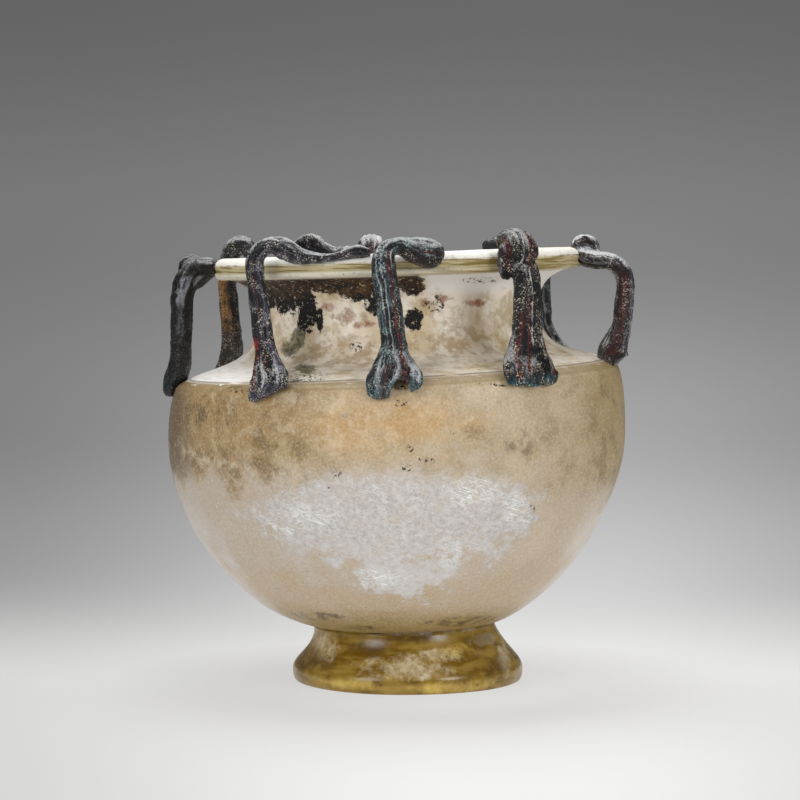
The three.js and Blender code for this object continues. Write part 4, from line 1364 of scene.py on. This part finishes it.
def sweep_grey(finish, below, aside):
    """The grey of the sweep by how steeply and how far aside the camera looks, as height and
    sideways distance over distance."""
    grey = finish.blend(below.rising(-0.07, 0.02), "686868", "838383")
    grey = grey.coat(below.rising(0.01, 0.08), "a7a7a7")
    grey = grey.coat(below.rising(0.07, 0.122), "c9c9c9")
    grey = grey.coat(below.rising(0.12, 0.156), "ebebea")
    depth = 0.2 + below.rising(-0.01, 0.08) * 0.34 - below.rising(0.115, 0.15) * 0.26
    grey = grey.coat(aside.rising(0.03, -0.15) * depth, "505050")
    return finish.blend(aside.rising(0.06, 0.16) * depth * 0.55, grey, "505050")


def floor_finish():
    finish = Finish("pale_sweep")
    where = finish.place()
    x, y, _ = finish.parts(where)
    reach = y.most(100 - EYE_BACK) + EYE_BACK
    grey = sweep_grey(finish, EYE_HEIGHT / reach, x / reach * y.rising(-420, -160))
    from_axis = (x * x + y * y) ** 0.5
    lit = finish.glass(Base_Color=grey, Roughness=0.6, IOR=1.3)
    plain = finish.node("ShaderNodeEmission", {}, {"Color": grey, "Strength": 1.0})
    # Close to the axis the floor shines more by itself: painted light under the vessel that softens its
    # shadow. Farther off the share grows again towards the plain grey of the backdrop.
    plain_share_and_painted_light = (from_axis.rising(160, 340) * 0.55 + 0.45).most(from_axis.rising(110, 40) * 0.7)
    return finish.done(finish.node("ShaderNodeMixShader", {}, {0: plain_share_and_painted_light, 1: lit, 2: plain}))


floor_shape = bmesh.new()
bmesh.ops.create_circle(floor_shape, cap_ends=True, segments=96, radius=FLOOR_RADIUS)
floor = as_object("floor", floor_shape)
floor.data.materials.append(floor_finish())
print("the floor reaches", round(floor.dimensions.x / 2, 2), "m each way")

# %% Lamps and world
def softbox(name, place, size, watts):
    """A round soft lamp that points at the vessel."""
    light = bpy.data.lights.new(name, "AREA")
    light.shape = "DISK"
    light.size = size * MM
    light.energy = watts
    made = bpy.data.objects.new(name, light)
    bpy.context.collection.objects.link(made)
    made.location = Vector(place) * MM
    made.rotation_euler = (Vector((0, 0, 60)) - Vector(place)).to_track_quat("-Z", "Y").to_euler()


softbox("top", (-60, 160, 620), 460, 3.2)
softbox("front_left", (-620, -700, 420), 420, 2.6)
softbox("front_right", (640, -640, 400), 300, 2.1)


class Sky(Finish):
    """The world under way, with the same helpers as a finish."""

    def __init__(self, name):
        self.world = bpy.data.worlds.new(name)
        self.world.use_nodes = True
        self.tree = self.world.node_tree
        self.tree.nodes.clear()

    def done(self, surface):
        output = self.tree.nodes.new("ShaderNodeOutputWorld")
        self.tree.links.new(surface.socket, output.inputs["Surface"])
        return self.world


sky = Sky("studio")
right, ahead, upward = sky.parts(sky.node("ShaderNodeTexCoord", {}, {}, "Generated"))
ahead = ahead.most(0.1)
seen = sky.node("ShaderNodeBackground", {}, {"Color": sweep_grey(sky, 0 - upward / ahead, right / ahead)})
ambient = sky.node("ShaderNodeBackground", {}, {"Color": "c8c8c8", "Strength": 0.75})
shown = sky.node("ShaderNodeLightPath", {}, {}, "Is Camera Ray")
shown = shown.most(sky.node("ShaderNodeLightPath", {}, {}, "Is Glossy Ray"))
bpy.context.scene.world = sky.done(sky.node("ShaderNodeMixShader", {}, {0: shown, 1: ambient, 2: seen}))
bpy.context.scene.view_settings.view_transform = "Standard"
print("three lamps and a grey world")

# %% [markdown]
# ## Hand the pieces over
#
# Nothing on the vessel moves, so every piece rides on the one body and stands in for the CAD node
# that it was built over.

# %% Hand the pieces over
made_of = {"vessel_body": (bowl, "vessel_glass"), "foot_ring": (foot, "foot_glass")}
for name, (piece, _) in trails.items():
    made_of[name] = (piece, "handle_glass")
for name, (piece, glass) in made_of.items():
    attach(piece, "root")
    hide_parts(name)

print("handed over", len(made_of), "pieces")
